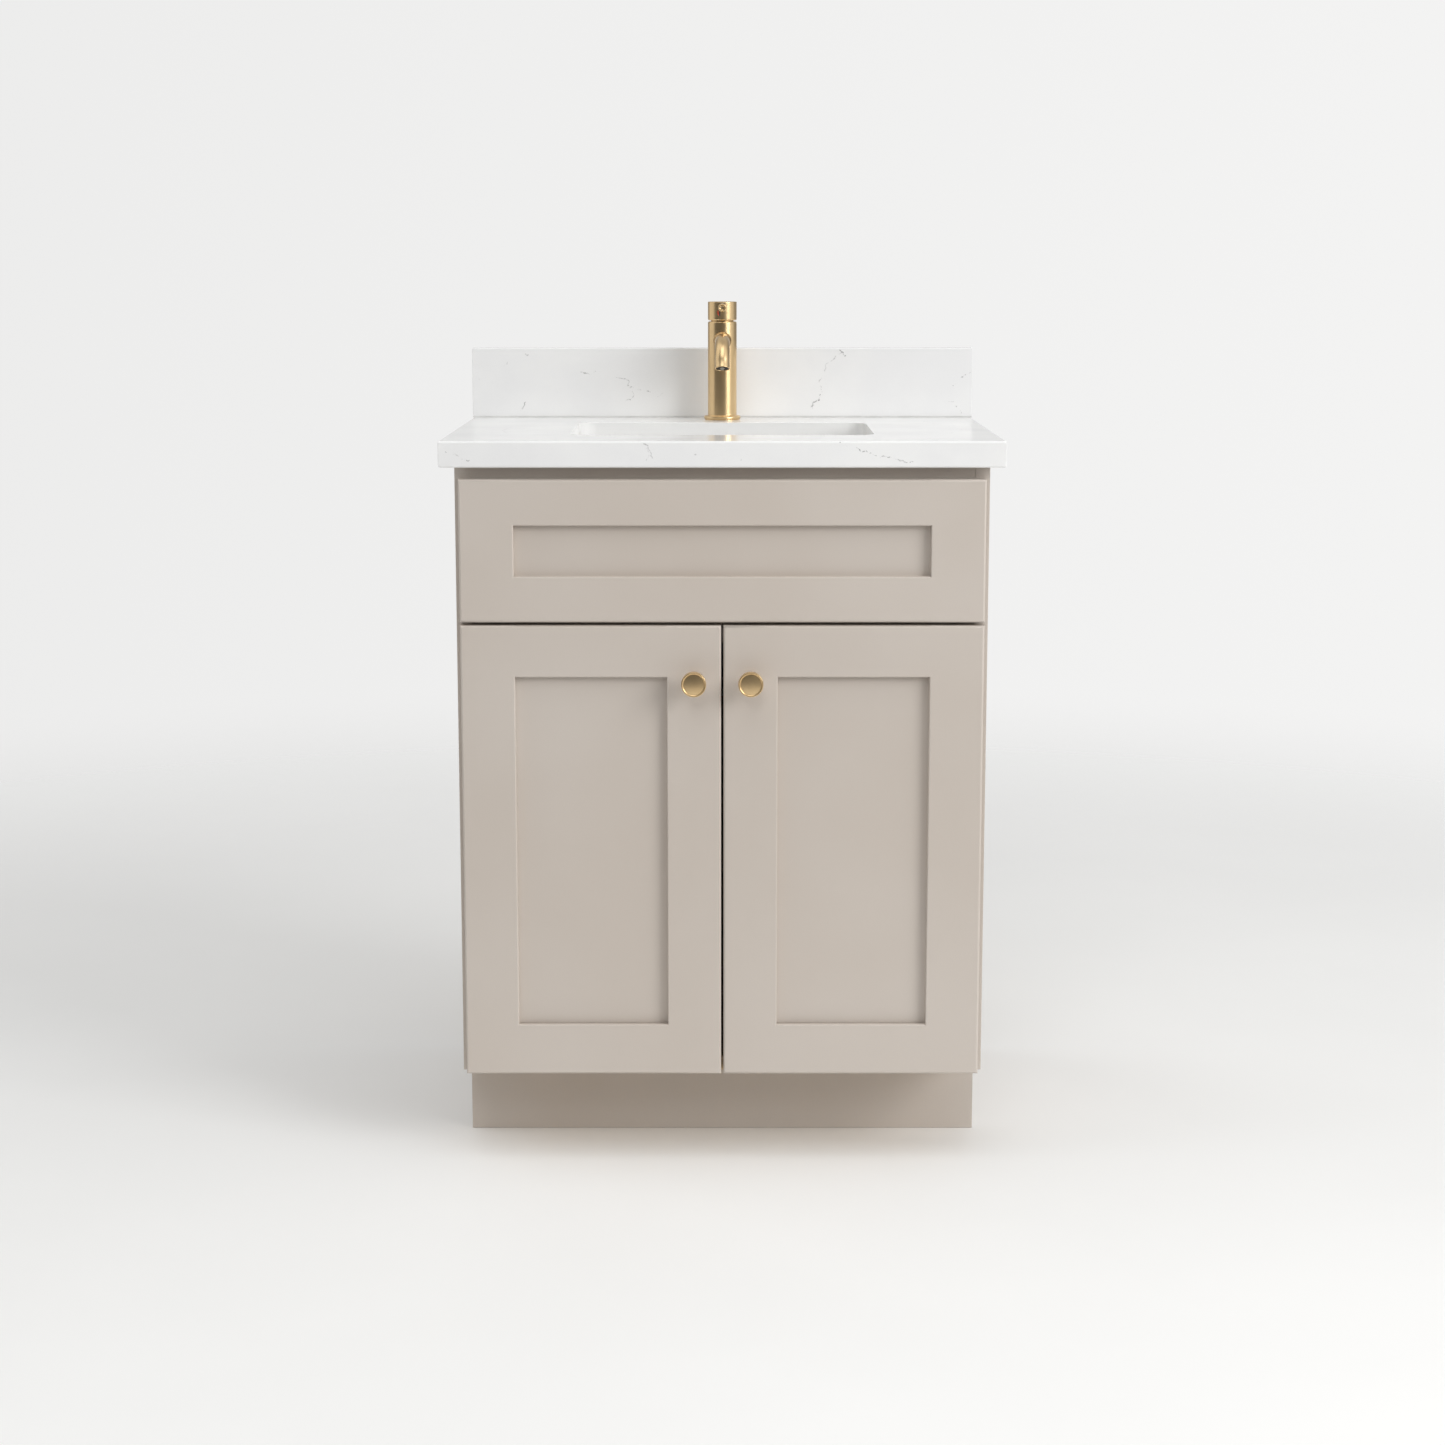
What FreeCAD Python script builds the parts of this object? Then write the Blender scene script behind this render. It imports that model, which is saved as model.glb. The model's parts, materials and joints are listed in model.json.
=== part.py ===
import FreeCAD, Part
import Sketcher
import os
import re
from math import cos, radians, sin

# A 24 in bathroom vanity: a frameless shaker cabinet with two doors and a false drawer front,
# a stone top with a splash, an undermount basin and a single-hole mixer.
# Millimetres. +Z is up, the front faces -Y, and the origin is the middle of the footprint on the floor.
# Offsets called "behind" are measured backwards from the front edges of the side panels.

SIZES = {
    # carcass
    "cabinet_width": 609.6,
    "carcass_height": 814.4,
    "carcass_depth": 444.6,
    "front_plane_y": -197.8,
    "board": 17.0,
    "toe_height": 103.4,
    "toe_recess": 98.7,
    "toe_board": 12.0,
    "back_board": 6.0,
    "top_rail_height": 90.0,
    "mid_rail_bottom": 612.0,
    "mid_rail_height": 48.0,
    "rail_setback": 0.6,
    "wall_hole_spacing": 406.4,
    "wall_hole_radius": 3.0,
    # stone top and splash
    "top_width": 641.35,
    "top_overhang": 25.4,
    "top_thickness": 30.0,
    "top_bevel": 1.6,
    "splash_thickness": 20.0,
    "splash_height": 88.9,
    "sealant_size": 2.2,
    "cutout_width": 356.0,
    "cutout_front": 81.5,
    "cutout_depth": 237.5,
    "cutout_radius": 22.0,
    # basin
    "basin_reveal": 3.0,
    "basin_rim": 22.0,
    "basin_rim_thickness": 12.0,
    "basin_wall": 9.0,
    "basin_inner_depth": 130.0,
    "basin_floor_radius": 26.0,
    "drain_radius": 22.5,
    "overflow_radius": 9.0,
    "overflow_drop": 34.0,
    "duct_width": 24.0,
    "duct_depth": 8.0,
    "duct_wall": 4.0,
    # drain
    "drain_flange_radius": 32.0,
    "drain_flange_thickness": 2.5,
    "drain_tube_radius": 21.5,
    "drain_bore_radius": 18.5,
    "drain_length": 66.0,
    "tailpiece_radius": 15.875,
    "tailpiece_wall": 1.4,
    "tailpiece_length": 110.0,
    "stopper_radius": 28.0,
    "stopper_thickness": 4.0,
    "stopper_stem_radius": 4.0,
    "stopper_clearance": 0.4,
    # faucet
    "faucet_behind": 383.0,
    "faucet_hole_radius": 17.5,
    "faucet_radius": 18.2,
    "flange_radius": 23.2,
    "flange_top": 5.4,
    "base_ring": 1.0,
    "body_top": 123.4,
    "cap_bottom": 124.8,
    "cap_top": 148.2,
    "groove_bevel": 1.1,
    "tilt_axis": 131.0,
    "cartridge_bore": 14.6,
    "retainer_radius": 14.2,
    "cap_wall": 2.4,
    "pin_height": 141.3,
    "pin_radius": 5.1,
    "pin_reach": 40.0,
    "spout_radius": 9.2,
    "spout_root_radius": 11.8,
    "spout_bore": 6.5,
    "spout_axis": 99.6,
    "spout_run": 62.0,
    "spout_bend": 34.0,
    "spout_drop": 10.0,
    "aerator_radius": 7.9,
    "aerator_length": 9.0,
    "aerator_recess": 0.6,
    "stud_radius": 4.0,
    "inlet_radius": 5.0,
    "inlet_spacing": 13.0,
    # doors and false front
    "front_width": 598.6,
    "front_gap": 2.0,
    "front_thickness": 19.0,
    "stile_width": 62.1,
    "recess": 10.0,
    "panel_board": 6.0,
    "groove_depth": 8.0,
    "panel_slack": 0.5,
    "edge_ease": 1.8,
    "drawer_bottom": 637.95,
    "drawer_height": 162.65,
    "drawer_rail": 52.3,
    "door_bottom": 104.7,
    "door_height": 529.4,
    "door_rail": 59.5,
    "door_gap": 2.8,
    # knobs
    "knob_x": 32.5,
    "knob_z": 570.2,
    "knob_reach": 28.0,
    "knob_radius": 14.3,
    "knob_rim": 2.2,
    "knob_dish": 0.9,
    # concealed hinges
    "hinge_low": 190.0,
    "hinge_high": 548.0,
    "cup_inset": 22.5,
    "cup_radius": 17.5,
    "cup_wall": 0.7,
    "cup_depth": 12.5,
    "arm_pivot_inset": 24.1,
    "arm_pivot_forward": 4.0,
    "cup_pivot_inset": 8.5,
    "cup_pivot_forward": 5.0,
    "crank_inset": 12.0,
    "crank_forward": 11.0,
    "hinge_pin_radius": 1.2,
    "pin_clearance": 0.05,
    "link_half_width": 3.5,
    "link_radius": 2.0,
    "handle_tilt": 20.0,
}

doc = FreeCAD.newDocument("vanity")
sheet = doc.addObject("Spreadsheet::Sheet", "dims")
for row, (alias, value) in enumerate(SIZES.items(), start=1):
    sheet.set(f"A{row}", alias)
    sheet.set(f"B{row}", str(value))
    sheet.setAlias(f"B{row}", alias)
doc.recompute()

ALIASES = re.compile(r"\b(" + "|".join(sorted(SIZES, key=len, reverse=True)) + r")\b")
nodes = []


def bind(target, prop, formula):
    """Tie a property to a formula written in the names of the sheet."""
    target.setExpression(prop, ALIASES.sub(r"dims.\1", str(formula)))


def size(formula):
    """The present value of a formula, worked out by the sheet in a spare cell."""
    sheet.set("D1", f"={formula}")
    doc.recompute([sheet])
    return float(sheet.get("D1"))


def place(obj, x=0, y=0, z=0, rotation=None):
    """Bind an object's place, with an optional turn about its own corner."""
    if rotation is not None:
        obj.Placement.Rotation = rotation
    for axis, formula in zip("xyz", (x, y, z)):
        bind(obj, f"Placement.Base.{axis}", formula)
    return obj


def box(name, x, y, z):
    """A box from three (low, high) pairs of formulas."""
    solid = doc.addObject("Part::Box", name)
    for prop, (low, high) in zip(("Length", "Width", "Height"), (x, y, z)):
        bind(solid, prop, f"({high}) - ({low})")
    return place(solid, x[0], y[0], z[0])


TURNS = {
    "+Z": FreeCAD.Rotation(),
    "+Y": FreeCAD.Rotation(FreeCAD.Vector(1, 0, 0), -90),
    "-Y": FreeCAD.Rotation(FreeCAD.Vector(1, 0, 0), 90),
    "+X": FreeCAD.Rotation(FreeCAD.Vector(0, 1, 0), 90),
}


def rod(name, radius, length, x, y, z, along="+Z"):
    """A cylinder from a point along an axis."""
    solid = doc.addObject("Part::Cylinder", name)
    bind(solid, "Radius", radius)
    bind(solid, "Height", length)
    return place(solid, x, y, z, TURNS[along])


def join(name, *shapes):
    fused = doc.addObject("Part::MultiFuse", name)
    fused.Shapes = list(shapes)
    fused.Refine = True
    return fused


def cut(name, base, *tools):
    """The base less its tools."""
    result = doc.addObject("Part::Cut", name)
    result.Base = base
    result.Tool = tools[0] if len(tools) == 1 else join(name + "_tools", *tools)
    result.Refine = True
    return result


def group(name, *shapes):
    """Separate solids that share one node."""
    compound = doc.addObject("Part::Compound", name)
    compound.Links = list(shapes)
    return compound


def mirrored(name, source):
    """The same piece on the other side of the cabinet."""
    copy = doc.addObject("Part::Mirroring", name)
    copy.Source = source
    copy.Normal = FreeCAD.Vector(1, 0, 0)
    copy.Base = FreeCAD.Vector(0, 0, 0)
    return copy


def node(obj, label):
    """Name a finished piece, which is written to a file of its own."""
    obj.Label = label
    nodes.append(obj)
    return obj


def both_sides(make, *names):
    """Make the left piece and mirror it to the right."""
    for name in names:
        left = make(name)
        node(left, "left_" + name)
        node(mirrored("right_" + name + "_mirror", left), "right_" + name)


def rounded(name, base, radius, chosen):
    """Fillet the edges that a test picks out."""
    doc.recompute()
    result = doc.addObject("Part::Fillet", name)
    result.Base = base
    picked = [i for i, edge in enumerate(base.Shape.Edges, start=1) if chosen(edge)]
    result.Edges = [(i, size(radius), size(radius)) for i in picked]
    return result


def bevelled(name, base, length, chosen):
    """Chamfer the edges that a test picks out."""
    doc.recompute()
    result = doc.addObject("Part::Chamfer", name)
    result.Base = base
    picked = [i for i, edge in enumerate(base.Shape.Edges, start=1) if chosen(edge)]
    result.Edges = [(i, size(length), size(length)) for i in picked]
    return result


def upright(edge):
    low, high = edge.BoundBox.ZMin, edge.BoundBox.ZMax
    return high - low > 1 and edge.BoundBox.XLength < 0.01 and edge.BoundBox.YLength < 0.01


def at_height(level):
    return lambda edge: abs(edge.BoundBox.ZMin - level) < 0.01 and abs(edge.BoundBox.ZMax - level) < 0.01


def body_sketch(name, role):
    """A PartDesign body with a sketch on one of its origin planes."""
    body = doc.addObject("PartDesign::Body", name)
    sketch = body.newObject("Sketcher::SketchObject", name + "_sketch")
    plane = next(item for item in body.Origin.OriginFeatures if item.Role == role)
    sketch.AttachmentSupport = [(plane, "")]
    sketch.MapMode = "FlatFace"
    return body, sketch


def draw_outline(sketch, corners):
    """A closed outline whose corners are dimensioned by formulas from the origin."""
    points = [FreeCAD.Vector(size(across), size(up), 0) for across, up in corners]
    count = len(points)
    for i in range(count):
        sketch.addGeometry(Part.LineSegment(points[i], points[(i + 1) % count]), False)
    from_origin = {"DistanceX": 0, "DistanceY": 1}
    for i in range(count):
        sketch.addConstraint(Sketcher.Constraint("Coincident", i, 2, (i + 1) % count, 1))
    for i, corner in enumerate(corners):
        for kind, which in from_origin.items():
            value = points[i][which]
            index = sketch.addConstraint(Sketcher.Constraint(kind, -1, 1, i, 1, value))
            bind(sketch, f"Constraints[{index}]", corner[which])


def turned(name, corners, x, y, z, along="+Z"):
    """A piece turned on a lathe: (radius, height) corners spun about its own axis."""
    body, sketch = body_sketch(name, "XZ_Plane")
    draw_outline(sketch, corners)
    spin = body.newObject("PartDesign::Revolution", name + "_revolution")
    spin.Profile = sketch
    spin.ReferenceAxis = (sketch, ["V_Axis"])
    spin.Angle = 360
    body.Tip = spin
    return place(body, x, y, z, TURNS[along])


HALF = "cabinet_width / 2"
INNER = "(cabinet_width / 2 - board)"
FRONT = "front_plane_y"
WALL = "(front_plane_y + carcass_depth)"
TOP = "(carcass_height + top_thickness)"
FAUCET_Y = "(front_plane_y + faucet_behind)"
BASIN_Y = "(front_plane_y + cutout_front + cutout_depth / 2)"


def behind(offset):
    return f"(front_plane_y + {offset})"


def above(offset):
    """A height measured from the stone's top face."""
    return f"(carcass_height + top_thickness + {offset})"


# ---------------------------------------------------------------- carcass

def side_panel(name):
    """A side: full height at the back, notched at the front for the toes."""
    body, sketch = body_sketch(name + "_body", "YZ_Plane")
    notch = behind("toe_recess + toe_board")
    draw_outline(sketch, [
        (FRONT, "toe_height"), (notch, "toe_height"), (notch, "0"),
        (WALL, "0"), (WALL, "carcass_height"), (FRONT, "carcass_height")])
    pad = body.newObject("PartDesign::Pad", name + "_pad")
    pad.Profile = sketch
    bind(pad, "Length", "board")
    body.Tip = pad
    return place(body, x=f"-{HALF}")


both_sides(side_panel, "side_panel")

back_face = "(carcass_depth - board - back_board)"
across = (f"-{INNER}", INNER)
bottom = box("bottom", across, (FRONT, behind(back_face)), ("toe_height", "toe_height + board"))
node(bottom, "bottom_panel")

toe = box("toe", (f"-{HALF}", HALF), (behind("toe_recess"), behind("toe_recess + toe_board")),
          ("0", "toe_height"))
node(toe, "toe_kick_board")

screw_xs = ("-200", "200")
rail_y = (behind("rail_setback"), behind("rail_setback + board"))
top_rail_z = ("carcass_height - top_rail_height", "carcass_height")
mid_rail_z = ("mid_rail_bottom", "mid_rail_bottom + mid_rail_height")
screw_zs = {"top": "carcass_height - top_rail_height / 2 + 6", "mid": "drawer_bottom + 11"}


def rail_with_screw_holes(name, heights, level):
    board = box(name + "_board", across, rail_y, heights)
    holes = [rod(f"{name}_hole{i}", "2.3", "board + 2", x, behind("rail_setback - 1"), level, "+Y")
             for i, x in enumerate(screw_xs)]
    return cut(name, board, *holes)


node(rail_with_screw_holes("top_rail", top_rail_z, screw_zs["top"]), "front_top_rail")
node(rail_with_screw_holes("mid_rail", mid_rail_z, screw_zs["mid"]), "front_mid_rail")



def wall_holes(name):
    """Two screw holes that run from inside the cabinet to the wall."""
    start = behind("(carcass_depth - board - back_board - 2)")
    level = "carcass_height - top_rail_height / 2"
    return [rod(f"{name}_hole{i}", "wall_hole_radius", "board + back_board + 4",
                f"{sign} wall_hole_spacing / 2", start, level, "+Y")
            for i, sign in enumerate(("-", "+"))]


back = box("back_blank", across, (behind(back_face), behind("(carcass_depth - board)")),
           ("toe_height", "carcass_height"))
node(cut("back", back, *wall_holes("back")), "back_panel")
wall_rail = box("wall_rail", across, (behind("(carcass_depth - board)"), WALL), top_rail_z)
node(cut("back_rail", wall_rail, *wall_holes("rail")), "back_top_rail")

bumper_xs = ("-52", "52")
bumper_zs = ("toe_height + board / 2", "door_bottom + door_height - 9")
bumpers = [rod(f"bumper_low{i}", "4", "1.6", x, FRONT, bumper_zs[0], "-Y") for i, x in enumerate(bumper_xs)]
bumpers += [rod(f"bumper_top{i}", "4", "1.6 + rail_setback", x, behind("rail_setback"), bumper_zs[1], "-Y")
            for i, x in enumerate(bumper_xs)]
node(group("bumpers", *bumpers), "door_bumpers")


# ---------------------------------------------------------------- stone top and splash

slab = box("slab", ("-top_width / 2", "top_width / 2"), (behind("0 - top_overhang"), WALL),
           ("carcass_height", TOP))
hole = box("cutout_blank", ("-cutout_width / 2", "cutout_width / 2"),
           (behind("cutout_front"), behind("(cutout_front + cutout_depth)")),
           ("carcass_height - 5", above("5")))
hole = rounded("cutout_tool", hole, "cutout_radius", upright)
tap_hole = rod("tap_hole", "faucet_hole_radius", "top_thickness + 10", "0", FAUCET_Y, "carcass_height - 5")
slab_cut = cut("slab_cut", slab, hole, tap_hole)
edge_y = size(behind("0 - top_overhang"))
edge_x = size("top_width / 2")


def on_outer_edge(edge):
    box_ = edge.BoundBox
    flat = box_.ZLength < 0.01 and box_.XLength + box_.YLength > 100
    front = abs(box_.YMin - edge_y) < 0.01 and box_.YLength < 0.01
    side = abs(abs(box_.Center.x) - edge_x) < 0.01
    return flat and (front or side)


node(bevelled("slab_bevel", slab_cut, "top_bevel", on_outer_edge), "countertop")

splash = box("splash", ("-top_width / 2", "top_width / 2"),
             (behind("(carcass_depth - splash_thickness)"), WALL), (TOP, above("splash_height")))
splash_top = size(above("splash_height"))
node(bevelled("splash_bevel", splash, "top_bevel / 2", at_height(splash_top)), "backsplash")

bead, bead_sketch = body_sketch("bead", "YZ_Plane")
splash_face = behind("(carcass_depth - splash_thickness)")
draw_outline(bead_sketch, [(splash_face, TOP), (splash_face, above("sealant_size")),
                           (behind("(carcass_depth - splash_thickness - sealant_size)"), TOP)])
bead_pad = bead.newObject("PartDesign::Pad", "bead_pad")
bead_pad.Profile = bead_sketch
bind(bead_pad, "Length", "top_width")
bead.Tip = bead_pad
place(bead, x="-top_width / 2")
node(bead, "backsplash_sealant")


# ---------------------------------------------------------------- basin

basin_half = "(cutout_width / 2 + basin_reveal)"
basin_front = "(cutout_front - basin_reveal)"
basin_back = "(cutout_front + cutout_depth + basin_reveal)"
floor_inside = "(carcass_height - basin_inner_depth)"
floor_under = "(carcass_height - basin_inner_depth - basin_wall)"


def tray(name, grow, low, high):
    """A block as large as the bowl's inside, grown on every side."""
    return box(name, (f"-{basin_half} - {grow}", f"{basin_half} + {grow}"),
               (behind(f"({basin_front} - {grow})"), behind(f"({basin_back} + {grow})")), (low, high))


rim = rounded("rim_round", tray("rim_blank", "basin_rim", "carcass_height - basin_rim_thickness",
                                "carcass_height"), "cutout_radius", upright)
shell = rounded("shell_round", tray("shell_blank", "basin_wall", floor_under, "carcass_height - 4"),
                "cutout_radius + basin_wall", upright)
shell = rounded("shell_floor", shell, "basin_floor_radius", at_height(size(floor_under)))
duct_front = f"({basin_front} - basin_wall - duct_depth - duct_wall)"
duct_shell = box("duct_shell", ("-duct_width / 2 - duct_wall", "duct_width / 2 + duct_wall"),
                 (behind(duct_front), behind(f"({basin_front} + 2)")),
                 (floor_under, "carcass_height - 8"))
sump_shell = box("sump_shell", ("-duct_width / 2 - duct_wall", "duct_width / 2 + duct_wall"),
                 (behind(duct_front), BASIN_Y + " - drain_radius + 4"),
                 (f"{floor_under} - duct_depth - duct_wall + basin_wall - 4", floor_inside + " - 3"))
drain_boss = rod("drain_boss", "drain_flange_radius + 6", "duct_depth + duct_wall - basin_wall + 10",
                 "0", BASIN_Y, f"{floor_under} - duct_depth - duct_wall + basin_wall - 4")
bowl_solid = join("bowl_solid", rim, shell, duct_shell, sump_shell, drain_boss)
inside = rounded("inside_round", tray("inside_blank", "0", floor_inside, "carcass_height + 5"),
                 "cutout_radius + basin_reveal", upright)
inside = rounded("inside_floor", inside, "basin_floor_radius - 6", at_height(size(floor_inside)))
drain_hole = rod("drain_hole", "drain_radius", "60", "0", BASIN_Y, f"{floor_inside} - 50")
overflow_z = "(carcass_height - overflow_drop)"
overflow_hole = rod("overflow_hole", "overflow_radius", "basin_wall + 6", "0",
                    behind(f"({basin_front} - basin_wall - 4)"), overflow_z, "+Y")
duct_low = f"({floor_under} - duct_depth - duct_wall + basin_wall)"
duct = box("duct", ("-duct_width / 2", "duct_width / 2"),
           (behind(f"({duct_front} + duct_wall)"), behind(f"({basin_front} - basin_wall)")),
           (duct_low, f"{overflow_z} + overflow_radius"))
duct_run = box("duct_run", ("-duct_width / 2", "duct_width / 2"),
               (behind(f"({duct_front} + duct_wall)"), BASIN_Y),
               (duct_low, f"{duct_low} + 5"))
node(cut("basin", bowl_solid, inside, drain_hole, overflow_hole, duct, duct_run), "sink_basin")

ring_profile = [("overflow_radius - 2.5", "0 - basin_wall / 2"), ("overflow_radius", "0 - basin_wall / 2"),
                ("overflow_radius", "0"), ("overflow_radius + 3", "0"),
                ("overflow_radius + 2.4", "1.6"), ("overflow_radius - 2.5", "1.6")]
node(turned("overflow_trim", ring_profile, "0", behind(basin_front), overflow_z, "+Y"), "overflow_ring")

clip_under = "carcass_height - basin_rim_thickness"
clips = []
for side, sign in (("left", -1), ("right", 1)):
    for k, shift in enumerate(("-70", "70")):
        y = (BASIN_Y + f" + {shift} - 10", BASIN_Y + f" + {shift} + 10")
        inner, outer = f"({basin_half} + basin_rim - 9)", f"({basin_half} + basin_rim + 26)"
        edge = f"({basin_half} + basin_rim + 0.5)"
        spans = [((inner, edge), (f"{clip_under} - 3", clip_under)),
                 ((edge, f"{edge} + 3"), (f"{clip_under} - 3", "carcass_height")),
                 ((f"{edge} + 3", outer), ("carcass_height - 3", "carcass_height"))]
        parts = []
        for n, (x, z) in enumerate(spans):
            if sign < 0:
                x = (f"0 - ({x[1]})", f"0 - ({x[0]})")
            parts.append(box(f"clip_{side}{k}{n}", x, y, z))
        clips.append(join(f"clip_{side}{k}", *parts))
node(group("clips", *clips), "sink_clips")


# ---------------------------------------------------------------- drain

FLOOR = floor_inside
boss_under = f"({floor_under} - duct_depth - duct_wall + basin_wall - 4)"
drain_body_profile = [
    ("drain_bore_radius", "0 - drain_length"), ("drain_tube_radius", "0 - drain_length"),
    ("drain_tube_radius", "0"), ("drain_flange_radius - 1", "0"),
    ("drain_flange_radius", "1"), ("drain_flange_radius - 3", "drain_flange_thickness"),
    ("drain_bore_radius + 3", "drain_flange_thickness"), ("drain_bore_radius", "0 - 1")]
drain_tube = turned("drain_tube", drain_body_profile, "0", BASIN_Y, FLOOR)
bridge = box("drain_bridge", ("-drain_bore_radius - 1", "drain_bore_radius + 1"),
             (BASIN_Y + " - 6.5", BASIN_Y + " + 6.5"), (FLOOR + " - 36", FLOOR + " - 30"))
guide_bore = rod("guide_bore", "stopper_stem_radius + 0.06", "20", "0", BASIN_Y, FLOOR + " - 45")
slot_y = (BASIN_Y + " - drain_tube_radius - 2", BASIN_Y + " - drain_bore_radius + 3")
overflow_slot = box("overflow_slot", ("-8", "8"), slot_y, (duct_low, duct_low + " + 5"))
drain_whole = join("drain_whole", drain_tube, bridge)
node(cut("drain", drain_whole, guide_bore, overflow_slot), "drain_body")


def washer(name, inner, outer, low, high, y=BASIN_Y):
    disc = rod(name + "_disc", outer, f"({high}) - ({low})", "0", y, low)
    opening = rod(name + "_opening", inner, f"({high}) - ({low}) + 2", "0", y, f"{low} - 1")
    return cut(name, disc, opening)


node(washer("gasket", "drain_tube_radius", "drain_flange_radius + 1", f"{boss_under} - 6", boss_under),
     "drain_gasket")


def hex_nut(name, inner, across_corners, low, height, y):
    prism = doc.addObject("Part::Prism", name + "_prism")
    prism.Polygon = 6
    bind(prism, "Circumradius", across_corners)
    bind(prism, "Height", height)
    place(prism, "0", y, low)
    opening = rod(name + "_opening", inner, f"{height} + 2", "0", y, f"{low} - 1")
    return cut(name, prism, opening)


node(hex_nut("locknut", "drain_tube_radius", "drain_flange_radius + 3", f"{boss_under} - 14", "8", BASIN_Y),
     "drain_locknut")

tail_top = f"({FLOOR} - drain_length + 12)"
tail = washer("tail_tube", "tailpiece_radius - tailpiece_wall", "tailpiece_radius",
              f"{tail_top} - tailpiece_length", tail_top)
collar = washer("tail_collar", "tailpiece_radius", "drain_bore_radius", f"{FLOOR} - drain_length", tail_top)
node(join("tailpiece", tail, collar), "drain_tailpiece")

cap_low = "drain_flange_thickness + stopper_clearance"
stopper_profile = [
    ("0", "0 - 44"), ("stopper_stem_radius", "0 - 44"), ("stopper_stem_radius", cap_low),
    ("stopper_radius - 2", cap_low), ("stopper_radius", f"{cap_low} + 1.4"),
    ("stopper_radius - 4", f"{cap_low} + stopper_thickness - 0.6"), ("0", f"{cap_low} + stopper_thickness")]
node(turned("stopper", stopper_profile, "0", BASIN_Y, FLOOR), "drain_stopper")


# ---------------------------------------------------------------- faucet

node(washer("tap_ring", "faucet_radius - 3", "flange_radius - 0.9", TOP, above("base_ring"), FAUCET_Y),
     "faucet_base_ring")

body_profile = [
    ("0", "base_ring"), ("flange_radius - 0.8", "base_ring"), ("flange_radius", "base_ring + 1"),
    ("flange_radius", "flange_top - 2"), ("flange_radius - 0.9", "flange_top - 0.6"),
    ("flange_radius - 2.6", "flange_top"), ("faucet_radius", "flange_top"),
    ("faucet_radius", "body_top - groove_bevel"), ("faucet_radius - groove_bevel", "body_top"),
    ("cartridge_bore", "body_top"), ("cartridge_bore", "body_top - 36"), ("0", "body_top - 36")]
tap_turned = turned("tap_turned", body_profile, "0", FAUCET_Y, TOP)
inlets = [rod(f"inlet{i}", "inlet_radius", "13", f"{sign} inlet_spacing / 2", FAUCET_Y + " + 3.5",
              above("base_ring - 1")) for i, sign in enumerate(("-", "+"))]
stud_bore = rod("stud_bore", "stud_radius", "13", "0", FAUCET_Y + " - 10", above("base_ring - 1"))

# The spout runs forward from the body, bends down on one arc and leans forward at its outlet.
LEAN = 20.0
TURN = 90.0 - LEAN


def spout_path():
    """The spout's centre line, from the body's axis to the outlet."""
    start = FreeCAD.Vector(0, size(FAUCET_Y), size(above("spout_axis")))
    run, bend = size("spout_run"), size("spout_bend")
    elbow = start + FreeCAD.Vector(0, -run, 0)
    half = radians(TURN / 2)
    full = radians(TURN)
    middle = elbow + FreeCAD.Vector(0, -bend * sin(half), -bend * (1 - cos(half)))
    end = elbow + FreeCAD.Vector(0, -bend * sin(full), -bend * (1 - cos(full)))
    outlet = end + FreeCAD.Vector(0, -sin(radians(LEAN)), -cos(radians(LEAN))) * size("spout_drop")
    return Part.Wire([Part.LineSegment(start, elbow).toShape(), Part.Arc(elbow, middle, end).toShape(),
                      Part.LineSegment(end, outlet).toShape()]), start, outlet


def spout_tube(radius):
    path, start, _ = spout_path()
    ring = Part.Wire([Part.makeCircle(size(radius), start, FreeCAD.Vector(0, -1, 0))])
    tube = path.makePipeShell([ring], True, False)
    return Part.Solid(tube.Shells[0]) if tube.ShapeType != "Solid" else tube


OUTLET = spout_path()[2]
OUTWARD = FreeCAD.Vector(0, -sin(radians(LEAN)), -cos(radians(LEAN)))
column = Part.makeCylinder(size("faucet_radius"), 200, FreeCAD.Vector(0, size(FAUCET_Y), size(TOP)))
nozzle_room = Part.makeCylinder(size("aerator_radius"), size("aerator_length") + 5,
                                OUTLET - OUTWARD * size("aerator_length"), OUTWARD)
# A flare blends the spout into the body.
root_centre = spout_path()[1]
FORWARD = FreeCAD.Vector(0, -1, 0)
flare_start = size("faucet_radius") - 2.0
collar = Part.makeCylinder(size("spout_root_radius"), flare_start, root_centre, FORWARD)
flare = Part.makeCone(size("spout_root_radius"), size("spout_radius"), 5.5,
                      root_centre + FORWARD * flare_start, FORWARD)
spout = doc.addObject("Part::Feature", "spout")
outside = spout_tube("spout_radius").fuse([collar, flare])
spout.Shape = outside.cut([spout_tube("spout_bore"), column, nozzle_room]).removeSplitter()
node(cut("tap_body", tap_turned, *inlets, stud_bore), "faucet_body")
node(spout, "faucet_spout")

aerator_holes = [Part.makeCylinder(0.9, 20, OUTLET + FreeCAD.Vector(4.6 * cos(a), 0, 0)
                                   + FreeCAD.Vector(0, -OUTWARD.z, OUTWARD.y) * (4.6 * sin(a))
                                   - OUTWARD * 15, OUTWARD)
                 for a in (radians(60 * k) for k in range(6))]
aerator = doc.addObject("Part::Feature", "aerator")
disc = Part.makeCylinder(size("aerator_radius"), size("aerator_length") - size("aerator_recess"),
                         OUTLET - OUTWARD * size("aerator_length"), OUTWARD)
for hole_ in aerator_holes:
    disc = disc.cut(hole_)
aerator.Shape = disc
node(aerator, "spout_aerator")

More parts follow.
